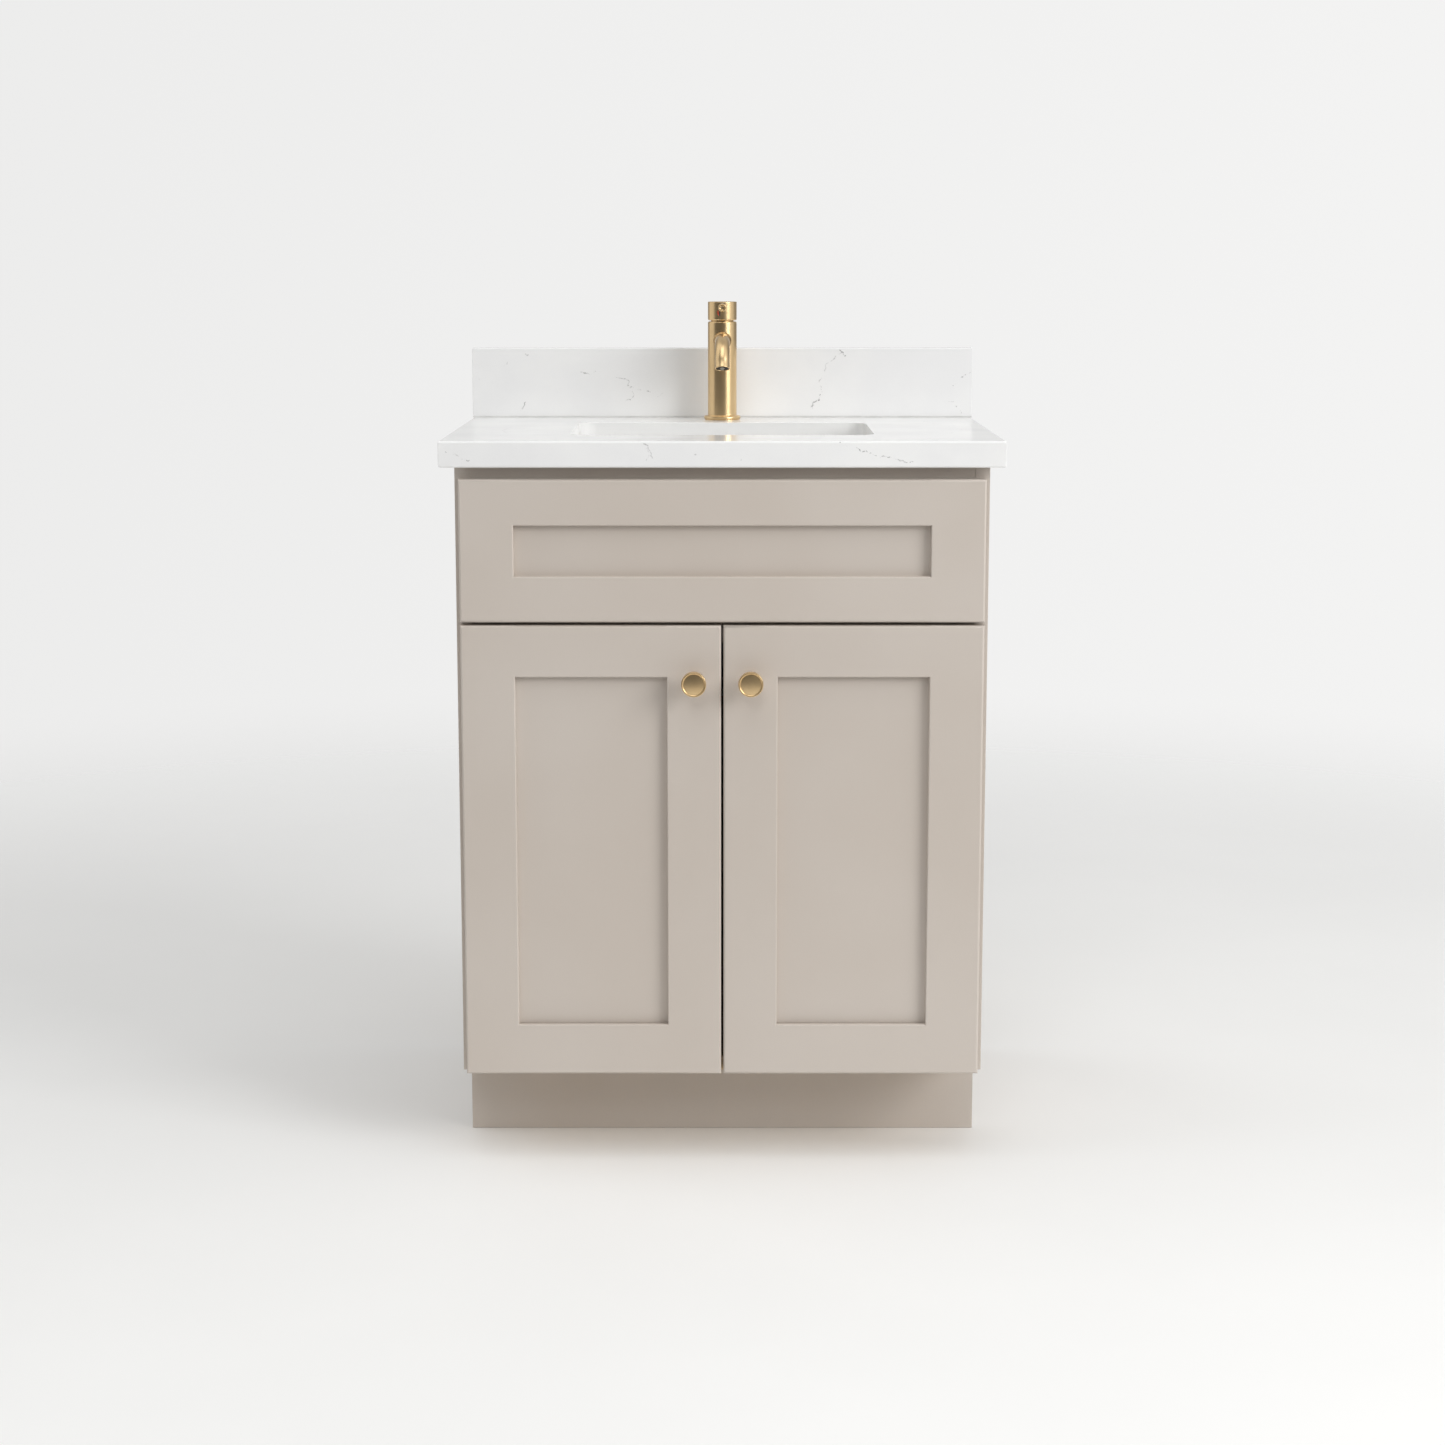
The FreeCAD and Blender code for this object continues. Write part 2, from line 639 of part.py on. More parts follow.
# The cartridge's retaining nut stands a little above the body and closes the gap under the cap.
cartridge_profile = [
    ("0", "body_top - 36"), ("cartridge_bore - 0.05", "body_top - 36"),
    ("cartridge_bore - 0.05", "body_top - 8"), ("retainer_radius", "body_top - 8"),
    ("retainer_radius", "cap_bottom + 0.1"), ("retainer_radius - 3.6", "cap_bottom + 0.1"),
    ("retainer_radius - 3.6", "body_top - 8"), ("0", "body_top - 8")]
node(turned("cartridge", cartridge_profile, "0", FAUCET_Y, TOP), "cartridge_body")
stem_base = rod("stem_base", "9", "5", "0", FAUCET_Y, above("body_top - 7.7"))
stem_post = box("stem_post", ("-4", "4"), (FAUCET_Y + " - 4", FAUCET_Y + " + 4"),
                (above("body_top - 3"), above("tilt_axis + 4")))
axle = rod("stem_axle", "1.5", "22", "-11", FAUCET_Y, above("tilt_axis"), "+X")
node(join("stem", stem_base, stem_post, axle), "cartridge_stem")

cap_profile = [
    ("0", "cap_top - 4"), ("faucet_radius - cap_wall", "cap_top - 4"),
    ("faucet_radius - cap_wall", "cap_bottom"), ("faucet_radius - groove_bevel", "cap_bottom"),
    ("faucet_radius", "cap_bottom + groove_bevel"), ("faucet_radius", "cap_top - 1.5"),
    ("faucet_radius - 0.45", "cap_top - 0.45"), ("faucet_radius - 1.5", "cap_top"), ("0", "cap_top")]
cap_turned = turned("cap_turned", cap_profile, "0", FAUCET_Y, TOP)
tilt = size("handle_tilt")
ears = [box(f"cap_ear{i}", (f"{lo}", f"{hi}"), (FAUCET_Y + " - 4", FAUCET_Y + " + 4"),
            (above("tilt_axis - 4"), above("cap_top - 3")))
        for i, (lo, hi) in enumerate((("-16.3", "-6"), ("6", "16.3")))]
ear_bore = rod("ear_bore", "1.56", "24", "-12", FAUCET_Y, above("tilt_axis"), "+X")
relief = doc.addObject("Part::Feature", "cap_relief")
pivot = FreeCAD.Vector(0, size(FAUCET_Y), size(above("tilt_axis")))
wedge = Part.makeBox(60, 40, 20, FreeCAD.Vector(-30, pivot.y, size(above("cap_bottom")) - 20))
wedge.rotate(pivot, FreeCAD.Vector(1, 0, 0), tilt)
relief.Shape = wedge
pin_seat = rod("pin_seat", "pin_radius - 1.6", "12", "0", FAUCET_Y + " - faucet_radius + 5",
               above("pin_height"), "-Y")
cap_whole = join("cap_whole", cap_turned, *ears)
node(cut("cap", cap_whole, ear_bore, relief, pin_seat), "handle_cap")

pin_profile = [
    ("0", "faucet_radius - 4"), ("pin_radius - 1.6", "faucet_radius - 4"),
    ("pin_radius - 1.6", "faucet_radius + 0.1"), ("pin_radius", "faucet_radius + 0.1"),
    ("pin_radius", "pin_reach - 0.8"), ("pin_radius - 0.8", "pin_reach"),
    ("pin_radius - 1.7", "pin_reach"), ("pin_radius - 1.9", "pin_reach - 0.9"), ("0", "pin_reach - 0.9")]
node(turned("lever", pin_profile, "0", FAUCET_Y, above("pin_height"), "-Y"), "handle_pin")

marks = []
for name, x, top in (("hot", ("-5.9", "-3.9"), 3.7), ("cold", ("-3.5", "-2.3"), 4.8)):
    mark = doc.addObject("Part::Common", name + "_mark")
    mark.Base = washer(name + "_band", "faucet_radius", "faucet_radius + 0.25", above("pin_height - 11"),
                       above(f"pin_height - {top}"), FAUCET_Y)
    mark.Tool = box(name + "_width", x, (FAUCET_Y + " - 20", FAUCET_Y),
                    (above("cap_bottom"), above("cap_top")))
    marks.append(mark)
node(group("marks", *marks), "temperature_marks")

node(rod("shank", "stud_radius", "top_thickness + 42", "0", FAUCET_Y + " - 10", "carcass_height - 30"),
     "faucet_shank")
plate = rod("plate_disc", "26", "3", "0", FAUCET_Y, "carcass_height - 3")
hose_room = box("hose_room", ("-13", "13"), (FAUCET_Y + " - 3.5", FAUCET_Y + " + 30"),
                ("carcass_height - 5", "carcass_height + 1"))
plate_hole = rod("plate_hole", "stud_radius", "10", "0", FAUCET_Y + " - 10", "carcass_height - 6")
node(cut("plate", plate, hose_room, plate_hole), "faucet_clamp_plate")
node(hex_nut("stud_nut", "stud_radius", "7.5", "carcass_height - 11", "8", FAUCET_Y + " - 10"),
     "faucet_nut")


# ---------------------------------------------------------------- framed fronts

FACE = "(0 - front_gap - front_thickness)"
BACK = "(0 - front_gap)"
SLOT = (f"({FACE} + recess)", f"({FACE} + recess + panel_board)")


def eased(name, blank, outer):
    """Soften the edges of a stile or rail that lie on the outside of its front face."""
    face_y = size(behind(FACE))

    def picked(edge):
        box_ = edge.BoundBox
        on_face = box_.YLength < 0.01 and abs(box_.YMin - face_y) < 0.01
        return on_face and outer(box_)
    return bevelled(name, blank, "edge_ease", picked)


def front_stile(name, x, z, groove_side, outer_side):
    """An upright with a groove for the panel on one edge."""
    blank = box(name + "_blank", x, (behind(FACE), behind(BACK)), z)
    limit = size(x[0] if outer_side < 0 else x[1])
    soft = eased(name + "_eased", blank,
                 lambda box_: abs(box_.Center.x - limit) < 0.01 or box_.XLength > 5)
    groove_x = (f"{x[1]} - groove_depth", f"{x[1]} + 1") if groove_side > 0 else (
        f"{x[0]} - 1", f"{x[0]} + groove_depth")
    groove = box(name + "_groove", groove_x, (behind(SLOT[0]), behind(SLOT[1])),
                 (f"{z[0]} - 1", f"{z[1]} + 1"))
    return cut(name + "_grooved", soft, groove)


def front_rail(name, x, z, groove_side):
    """A cross piece with a groove for the panel and stub tenons for the stiles' grooves."""
    blank = box(name + "_blank", x, (behind(FACE), behind(BACK)), z)
    limit = size(z[0] if groove_side > 0 else z[1])
    soft = eased(name + "_eased", blank, lambda box_: abs(box_.Center.z - limit) < 0.01)
    tenon_x = (f"{x[0]} - groove_depth + panel_slack", f"{x[1]} + groove_depth - panel_slack")
    tenon = box(name + "_tenon", tenon_x, (behind(SLOT[0]), behind(SLOT[1])), z)
    whole = join(name + "_whole", soft, tenon)
    groove_z = (f"{z[1]} - groove_depth", f"{z[1]} + 1") if groove_side > 0 else (
        f"{z[0]} - 1", f"{z[0]} + groove_depth")
    groove = box(name + "_groove", (f"{x[0]} - groove_depth - 1", f"{x[1]} + groove_depth + 1"),
                 (behind(SLOT[0]), behind(SLOT[1])), groove_z)
    return cut(name + "_grooved", whole, groove)


def front_panel(name, x, z):
    """The recessed board, held all round in the grooves."""
    reach = "(groove_depth - panel_slack)"
    return box(name, (f"{x[0]} - {reach}", f"{x[1]} + {reach}"), (behind(SLOT[0]), behind(SLOT[1])),
               (f"{z[0]} - {reach}", f"{z[1]} + {reach}"))


DRAWER_Z = ("drawer_bottom", "(drawer_bottom + drawer_height)")
inner_z = ("(drawer_bottom + drawer_rail)", "(drawer_bottom + drawer_height - drawer_rail)")
half_front = "(front_width / 2)"
opening_x = (f"(0 - {half_front} + stile_width)", f"({half_front} - stile_width)")

stile = front_stile("drawer_stile", (f"(0 - {half_front})", opening_x[0]), DRAWER_Z, 1, -1)
node(stile, "false_front_left_stile")
node(mirrored("drawer_stile_mirror", stile), "false_front_right_stile")


def screw_pilots(name, board, level):
    pilots = [rod(f"{name}_pilot{i}", "2", "14", x, behind(BACK), level, "-Y")
              for i, x in enumerate(screw_xs)]
    return cut(name, board, *pilots)


upper = front_rail("drawer_upper", opening_x, (inner_z[1], DRAWER_Z[1]), -1)
node(screw_pilots("drawer_upper_drilled", upper, screw_zs["top"]), "false_front_top_rail")
lower = front_rail("drawer_lower", opening_x, (DRAWER_Z[0], inner_z[0]), 1)
node(screw_pilots("drawer_lower_drilled", lower, screw_zs["mid"]), "false_front_bottom_rail")
node(front_panel("drawer_panel", opening_x, inner_z), "false_front_panel")

screw_profile = [
    ("0", "0"), ("2", "0"), ("2", "board + rail_setback + 14"), ("5", "board + rail_setback + 14"),
    ("4.4", "board + rail_setback + 15.6"), ("2.5", "board + rail_setback + 16.4"),
    ("0", "board + rail_setback + 16.4")]
fixings = [turned(f"fixing_{level}{i}", screw_profile, x, behind("(0 - 14)"), screw_zs[level], "+Y")
           for level in screw_zs for i, x in enumerate(screw_xs)]
node(group("fixings", *fixings), "false_front_screws")

DOOR_Z = ("door_bottom", "(door_bottom + door_height)")
door_inner_z = ("(door_bottom + door_rail)", "(door_bottom + door_height - door_rail)")
door_x = (f"(0 - {half_front})", "(0 - door_gap / 2)")
door_open_x = (f"(0 - {half_front} + stile_width)", "(0 - door_gap / 2 - stile_width)")
hinge_zs = ("hinge_low", "hinge_high")
door_edge = f"(0 - {half_front})"
cup_x = f"({door_edge} + cup_inset)"

outer_stile = front_stile("door_outer", (door_x[0], door_open_x[0]), DOOR_Z, 1, -1)
cup_bores = [rod(f"cup_bore{i}", "cup_radius", "cup_depth", cup_x, behind(BACK), z, "-Y")
             for i, z in enumerate(hinge_zs)]
outer_stile = cut("door_outer_bored", outer_stile, *cup_bores)
inner_stile = front_stile("door_inner", (door_open_x[1], door_x[1]), DOOR_Z, -1, 1)
knob_bore = rod("knob_bore", "2.2", "front_thickness + 4", "0 - knob_x", behind(f"{FACE} - 2"),
                "knob_z", "+Y")
inner_stile = cut("door_inner_bored", inner_stile, knob_bore)
door_top = front_rail("door_upper", door_open_x, (door_inner_z[1], DOOR_Z[1]), -1)
door_low = front_rail("door_lower", door_open_x, (DOOR_Z[0], door_inner_z[0]), 1)
door_panel = front_panel("door_board", door_open_x, door_inner_z)

knob_profile = [
    ("0", "0"), ("8.6", "0"), ("9", "0.6"), ("8.6", "1.8"), ("5.8", "3.2"), ("5.4", "6"), ("5.4", "12"),
    ("6.4", "15.4"), ("9.4", "17.6"), ("knob_radius - 0.7", "18.8"), ("knob_radius", "19.8"),
    ("knob_radius", "knob_reach - 0.7"), ("knob_radius - 0.7", "knob_reach"),
    ("knob_radius - knob_rim + 0.3", "knob_reach"),
    ("knob_radius - knob_rim - 0.4", "knob_reach - knob_dish"), ("0", "knob_reach - knob_dish")]
knob_solid = turned("knob_turned", knob_profile, "0 - knob_x", behind(FACE), "knob_z", "-Y")
knob_thread = rod("knob_thread", "2", "12", "0 - knob_x", behind(f"{FACE} + 1"), "knob_z", "-Y")
knob = cut("knob", knob_solid, knob_thread)
knob_screw_profile = [
    ("0", "0"), ("2", "0"), ("2", "front_thickness + 9"), ("4.2", "front_thickness + 9"),
    ("3.8", "front_thickness + 10.4"), ("2.2", "front_thickness + 11.2"), ("0", "front_thickness + 11.2")]
knob_screw = turned("knob_screw", knob_screw_profile, "0 - knob_x", behind(f"{FACE} - 9"), "knob_z", "+Y")


# ---------------------------------------------------------------- concealed hinges

# Seen from above, the arm's pivot is fixed to the cabinet, just inside the cup's mouth, and the cup's
# pivot is near the door's edge. The cranked link between them passes round the door's edge as it opens.
ARM_PIVOT = (f"({door_edge} + arm_pivot_inset)", behind("(0 - arm_pivot_forward)"))
CUP_PIVOT = (f"({door_edge} + cup_pivot_inset)", behind("(0 - cup_pivot_forward)"))
CRANK = (f"({door_edge} + crank_inset)", behind("(0 - crank_forward)"))
panel_inside = f"(0 - {INNER})"


def strut(name, start, end, z):
    """A flat bar between two points seen from above, as wide as the link's round ends."""
    sx, sy, ex, ey = (size(formula) for formula in (*start, *end))
    direction = FreeCAD.Vector(ex - sx, ey - sy, 0)
    bar = doc.addObject("Part::Box", name)
    bar.Length = direction.Length
    bind(bar, "Width", "2 * link_radius")
    bind(bar, "Height", "2 * link_half_width")
    turn = FreeCAD.Rotation(FreeCAD.Vector(1, 0, 0), direction)
    side = turn.multVec(FreeCAD.Vector(0, 1, 0)) * size("link_radius")
    bar.Placement = FreeCAD.Placement(FreeCAD.Vector(sx, sy, size(f"{z} - link_half_width")) - side, turn)
    return bar


def hinge_link(index, z):
    low, high = f"{z} - link_half_width", "2 * link_half_width"
    ends = [rod(f"link{index}_end{k}", "link_radius", high, *point, low)
            for k, point in enumerate((ARM_PIVOT, CRANK, CUP_PIVOT))]
    bars = [strut(f"link{index}_bar0", ARM_PIVOT, CRANK, z), strut(f"link{index}_bar1", CRANK, CUP_PIVOT, z)]
    bores = [rod(f"link{index}_bore{k}", "hinge_pin_radius + pin_clearance", "20", *point, f"{z} - 10")
             for k, point in enumerate((ARM_PIVOT, CUP_PIVOT))]
    return cut(f"link{index}", join(f"link{index}_whole", *ends, *bars), *bores)


def hinge_arm(index, z):
    """A channel that straddles the link, with the pin across its forward end."""
    wide = "(link_half_width + 2.6)"
    gap = "(link_half_width + 0.3)"
    x, y = ARM_PIVOT
    spine = box(f"arm{index}_spine", (f"{panel_inside} + 6.5", f"{x} + 3.2"), (behind("1.5"), behind("62")),
                (f"{z} - {wide}", f"{z} + {wide}"))
    nose = box(f"arm{index}_nose", (f"{x} - 2.6", f"{x} + 2.6"), (y, behind("3")),
               (f"{z} - {wide}", f"{z} + {wide}"))
    tip = rod(f"arm{index}_tip", "2.6", f"2 * {wide}", x, y, f"{z} - {wide}")
    room = box(f"arm{index}_room", (f"{x} - 12", f"{x} + 12"), (f"{y} - 6", f"{y} + 3.2"),
               (f"{z} - {gap}", f"{z} + {gap}"))
    pin = rod(f"arm{index}_pin", "hinge_pin_radius", f"2 * {wide}", x, y, f"{z} - {wide}")
    fork = cut(f"arm{index}_fork", join(f"arm{index}_whole", spine, nose, tip), room)
    return join(f"arm{index}", fork, pin)


def hinge_plate(index, z):
    """The plate on the side panel, with a riser under the arm and a screw hole in each wing."""
    wing = box(f"plate{index}_wing", (panel_inside, f"{panel_inside} + 2"), (behind("30"), behind("46")),
               (f"{z} - 25", f"{z} + 25"))
    riser = box(f"plate{index}_riser", (panel_inside, f"{panel_inside} + 6.5"), (behind("18"), behind("62")),
                (f"{z} - 6", f"{z} + 6"))
    holes = [rod(f"plate{index}_hole{k}", "2.2", "8", f"{panel_inside} - 1", behind("38"),
                 f"{z} {shift}", "+X")
             for k, shift in enumerate(("- 16", "+ 16"))]
    return cut(f"plate{index}", join(f"plate{index}_whole", wing, riser), *holes)


def hinge_cup(index, z):
    """The pressed cup in the door, with its flange on the door's back and lugs that hold its pin."""
    shell_ = rod(f"cup{index}_shell", "cup_radius", "cup_depth", cup_x, behind(BACK), z, "-Y")
    flange = box(f"cup{index}_flange", (f"{cup_x} - 14.5", f"{cup_x} + 19"),
                 (behind(BACK), behind(f"{BACK} + 0.9")), (f"{z} - 27", f"{z} + 27"))
    hollow = rod(f"cup{index}_hollow", "cup_radius - cup_wall", "cup_depth - cup_wall + 2", cup_x,
                 behind(f"{BACK} + 2"), z, "-Y")
    pressed = cut(f"cup{index}_pressed", join(f"cup{index}_whole", shell_, flange), hollow)
    x, y = CUP_PIVOT
    near, far = "(link_half_width + 0.3)", "(link_half_width + 1.6)"
    lugs = []
    for k, (low, high) in enumerate(((f"{z} + {near}", f"{z} + {far}"), (f"{z} - {far}", f"{z} - {near}"))):
        lugs.append(box(f"cup{index}_lug{k}", (f"{x} - 2.6", f"{x} + 2.4"),
                        (behind(f"{BACK} - cup_depth + 0.3"), behind(BACK)), (low, high)))
    pin = rod(f"cup{index}_pin", "hinge_pin_radius", f"2 * {far}", x, y, f"{z} - {far}")
    return join(f"cup{index}", pressed, *lugs, pin)


def hinge_group(name, make):
    return group(name, *[make(index, z) for index, z in enumerate(hinge_zs)])


left_pieces = {
    "door_outer_stile": outer_stile, "door_inner_stile": inner_stile, "door_top_rail": door_top,
    "door_bottom_rail": door_low, "door_panel": door_panel, "door_knob": knob, "door_knob_screw": knob_screw,
    "hinge_plates": hinge_group("plates", hinge_plate), "hinge_arms": hinge_group("arms", hinge_arm),
    "hinge_links": hinge_group("links", hinge_link), "hinge_cups": hinge_group("cups", hinge_cup)}
both_sides(left_pieces.get, *left_pieces)


# ---------------------------------------------------------------- checks and files

doc.recompute()
problems = [f"{obj.Name}: {obj.State}" for obj in doc.Objects if {"Invalid", "Error"} & set(obj.State)]
for piece in nodes:
    if piece.Shape.isNull() or not piece.Shape.isValid() or not piece.Shape.Solids:
        problems.append(f"{piece.Label}: bad shape")
if problems:
    raise SystemExit("\n".join(problems))

os.makedirs("parts", exist_ok=True)
for piece in nodes:
    piece.Shape.exportStep(f"parts/{piece.Label}.step")
print(len(nodes), "nodes")
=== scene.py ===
import json
from math import cos, pi, radians, sin

import bmesh
import bpy
from mathutils import Matrix, Vector


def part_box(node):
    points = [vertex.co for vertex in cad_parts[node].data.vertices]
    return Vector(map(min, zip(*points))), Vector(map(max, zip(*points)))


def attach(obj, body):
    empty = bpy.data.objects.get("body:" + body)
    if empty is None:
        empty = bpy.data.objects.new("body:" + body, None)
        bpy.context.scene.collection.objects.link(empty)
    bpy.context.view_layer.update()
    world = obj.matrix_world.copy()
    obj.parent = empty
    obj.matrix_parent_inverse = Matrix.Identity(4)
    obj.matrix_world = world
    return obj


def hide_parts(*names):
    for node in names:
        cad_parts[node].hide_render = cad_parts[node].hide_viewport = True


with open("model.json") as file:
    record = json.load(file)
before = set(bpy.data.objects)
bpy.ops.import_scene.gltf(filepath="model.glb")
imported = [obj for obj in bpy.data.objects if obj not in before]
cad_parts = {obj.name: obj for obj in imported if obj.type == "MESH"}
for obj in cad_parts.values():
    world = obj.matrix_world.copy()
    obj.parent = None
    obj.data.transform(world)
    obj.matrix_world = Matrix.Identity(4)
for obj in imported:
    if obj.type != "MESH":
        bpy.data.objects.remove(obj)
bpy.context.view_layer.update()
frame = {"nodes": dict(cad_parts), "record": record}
nodes = frame["nodes"]
scene = bpy.context.scene
MM = 0.001

# Places taken from the frame: the plane of the side panels' front edges, the stone's top face, the splash's
# face and the faucet.
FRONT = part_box("left_side_panel")[0].y
STONE_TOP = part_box("countertop")[1].z
SPLASH_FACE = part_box("backsplash")[0].y
FAUCET = sum(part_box("faucet_body"), Vector()) / 2
AXIS = Vector((0, FAUCET.y, STONE_TOP))


# ------------------------------------------------------------------ node helpers

class Nodes:
    """A short way to write a material's node tree."""

    def __init__(self, tree):
        self.tree = tree

    def add(self, kind, inputs=None, **settings):
        node = self.tree.nodes.new(kind)
        for key, value in settings.items():
            setattr(node, key, value)
        for key, value in (inputs or {}).items():
            self.feed(node.inputs[key], value)
        return node

    def feed(self, socket, value):
        if isinstance(value, bpy.types.NodeSocket):
            self.tree.links.new(value, socket)
        else:
            socket.default_value = value

    def math(self, operation, a, b=0.0, clamp=False):
        node = self.add("ShaderNodeMath", {0: a, 1: b}, operation=operation)
        node.use_clamp = clamp
        return node.outputs[0]

    def vector(self, operation, a, b=None):
        """Arithmetic on vectors; a length, distance or dot product comes out as a number."""
        inputs = {0: a}
        if b is not None:
            inputs["Scale" if operation == "SCALE" else 1] = b
        node = self.add("ShaderNodeVectorMath", inputs, operation=operation)
        gives_number = operation in ("LENGTH", "DISTANCE", "DOT_PRODUCT")
        return node.outputs["Value" if gives_number else "Vector"]

    def ramp(self, value, low, high, to_low=0.0, to_high=1.0, smooth=True):
        """Map low..high to to_low..to_high, held level outside."""
        node = self.add("ShaderNodeMapRange", {"Value": value, "From Min": low, "From Max": high,
                                               "To Min": to_low, "To Max": to_high})
        node.interpolation_type = "SMOOTHSTEP" if smooth else "LINEAR"
        return node.outputs["Result"]

    def noise(self, scale, detail=3.0, roughness=0.5, vector=None):
        node = self.add("ShaderNodeTexNoise", {"Scale": scale, "Detail": detail, "Roughness": roughness})
        self.feed(node.inputs["Vector"], vector or self.place())
        return node.outputs["Fac"]

    def place(self):
        """Where a point is on the object, in metres."""
        return self.add("ShaderNodeTexCoord").outputs["Object"]

    def stretched(self, x, y, z):
        return self.add("ShaderNodeMapping", {"Vector": self.place(), "Scale": (x, y, z)}).outputs[0]

    def mix(self, factor, a, b):
        node = self.add("ShaderNodeMix", data_type="RGBA")
        self.feed(node.inputs[0], factor)
        self.feed(node.inputs[6], a)
        self.feed(node.inputs[7], b)
        return node.outputs[2]

    def bump(self, height, distance, strength=1.0, normal=None):
        node = self.add("ShaderNodeBump", {"Height": height, "Distance": distance, "Strength": strength})
        if normal:
            self.feed(node.inputs["Normal"], normal)
        return node.outputs[0]


def srgb(red, green, blue):
    """A colour given as 0 to 255 display values."""
    return tuple((v / 255 / 12.92 if v < 10 else ((v / 255 + 0.055) / 1.055) ** 2.4)
                 for v in (red, green, blue)) + (1.0,)


def material(name, build):
    """A new material: build gets the node helper and the shader, and joins them up."""
    made = bpy.data.materials.new(name)
    made.use_nodes = True
    made.node_tree.nodes.clear()
    n = Nodes(made.node_tree)
    shader = n.add("ShaderNodeBsdfPrincipled")
    n.add("ShaderNodeOutputMaterial", {"Surface": shader.outputs[0]})
    build(n, shader)
    return made


# ------------------------------------------------------------------ materials

PAINT = srgb(198, 188, 178)
PAINT_LIGHT = srgb(202, 193, 184)


def paint(n, shader):
    """Sprayed satin paint: a fine orange peel, faint cloudiness in colour and gloss."""
    cloud = n.noise(3.5, 2.0)
    fleck = n.noise(900.0, 2.0)
    tone = n.mix(n.ramp(cloud, 0.3, 0.7), PAINT, PAINT_LIGHT)
    shade = n.ramp(fleck, 0.3, 0.7, 0.985, 1.01)
    colour = n.add("ShaderNodeHueSaturation", {"Color": tone, "Value": shade}).outputs[0]
    n.feed(shader.inputs["Base Color"], colour)
    n.feed(shader.inputs["Roughness"], n.ramp(n.noise(14.0, 4.0), 0.3, 0.7, 0.40, 0.50))
    peel = n.noise(650.0, 2.0, 0.45)
    n.feed(shader.inputs["Normal"], n.bump(peel, 0.00006, 0.35))
    shader.inputs["Specular IOR Level"].default_value = 0.42


def board(coarse, fine):
    """Pale maple veneer inside the cabinet; the stretches set which way its grain and pores run."""
    def build(n, shader):
        grain = n.noise(6.0, 6.0, 0.6, n.stretched(*coarse))
        pore = n.noise(60.0, 3.0, 0.6, n.stretched(*fine))
        tone = n.mix(n.ramp(grain, 0.3, 0.7), srgb(214, 190, 154), srgb(196, 168, 130))
        dark = n.ramp(pore, 0.55, 0.75, 0.0, 0.35)
        n.feed(shader.inputs["Base Color"], n.mix(dark, tone, srgb(150, 120, 86)))
        n.feed(shader.inputs["Roughness"], n.ramp(grain, 0.3, 0.7, 0.42, 0.55))
        n.feed(shader.inputs["Normal"], n.bump(pore, 0.0001, 0.4))
    return build


# How fine each drift of a vein is, and how strong.
VEIN_DRIFTS = ((48.0, 0.010), (150.0, 0.0060), (420.0, 0.0024))
VEIN_THIN, VEIN_BROAD = 0.45 * MM, 1.25 * MM


def vein_lines(n, veins):
    """How dark each point is from the veins, whose straight pieces a fine drift makes crooked."""
    place = n.place()
    shift = place
    for scale, amount in VEIN_DRIFTS:
        drift = n.add("ShaderNodeTexNoise", {"Vector": place, "Scale": scale, "Detail": 4.0,
                                             "Roughness": 0.6})
        centred = n.vector("SUBTRACT", drift.outputs["Color"], (0.5, 0.5, 0.5))
        shift = n.vector("ADD", shift, n.vector("SCALE", centred, amount))
    width = n.ramp(n.noise(90.0, 2.0), 0.3, 0.7, VEIN_THIN, VEIN_BROAD)
    total = None
    for start, end, strength in veins:
        along = end - start
        offset = n.vector("SUBTRACT", shift, start)
        dot = n.vector("DOT_PRODUCT", offset, along / along.length_squared)
        reach = n.math("MULTIPLY", dot, 1.0, clamp=True)
        nearest = n.vector("SCALE", along, reach)
        line = n.ramp(n.vector("DISTANCE", offset, nearest), 0.0, width, strength, 0.0)
        total = line if total is None else n.math("MAXIMUM", total, line)
    return n.math("MULTIPLY", total, n.ramp(n.noise(60.0, 2.0), 0.35, 0.6, 0.85, 1.4), clamp=True)


def stone(veins):
    """Polished quartz: a near-white ground, a faint fine grit, soft clouds and a few grey veins."""
    def build(n, shader):
        cloud = n.noise(7.0, 4.0, 0.6)
        grit = n.noise(1400.0, 2.0, 0.7)
        ground = n.mix(n.ramp(cloud, 0.35, 0.7), srgb(242, 242, 241), srgb(237, 237, 237))
        ground = n.mix(n.ramp(grit, 0.52, 0.8, 0.0, 0.18), ground, srgb(205, 205, 206))
        thin = vein_lines(n, veins)
        n.feed(shader.inputs["Base Color"], n.mix(thin, ground, srgb(104, 102, 102)))
        n.feed(shader.inputs["Roughness"], n.ramp(n.noise(12.0, 2.0), 0.3, 0.7, 0.15, 0.17))
        shader.inputs["IOR"].default_value = 1.5
    return build


def ceramic(n, shader):
    """White vitreous glaze, pooled very slightly uneven."""
    n.feed(shader.inputs["Base Color"], n.mix(n.ramp(n.noise(9.0), 0.3, 0.7), srgb(246, 246, 244),
                                              srgb(242, 242, 240)))
    n.feed(shader.inputs["Roughness"], n.ramp(n.noise(25.0), 0.3, 0.7, 0.06, 0.12))
    n.feed(shader.inputs["Normal"], n.bump(n.noise(45.0, 2.0), 0.00015, 0.2))
    shader.inputs["Coat Weight"].default_value = 0.6
    shader.inputs["Coat Roughness"].default_value = 0.04


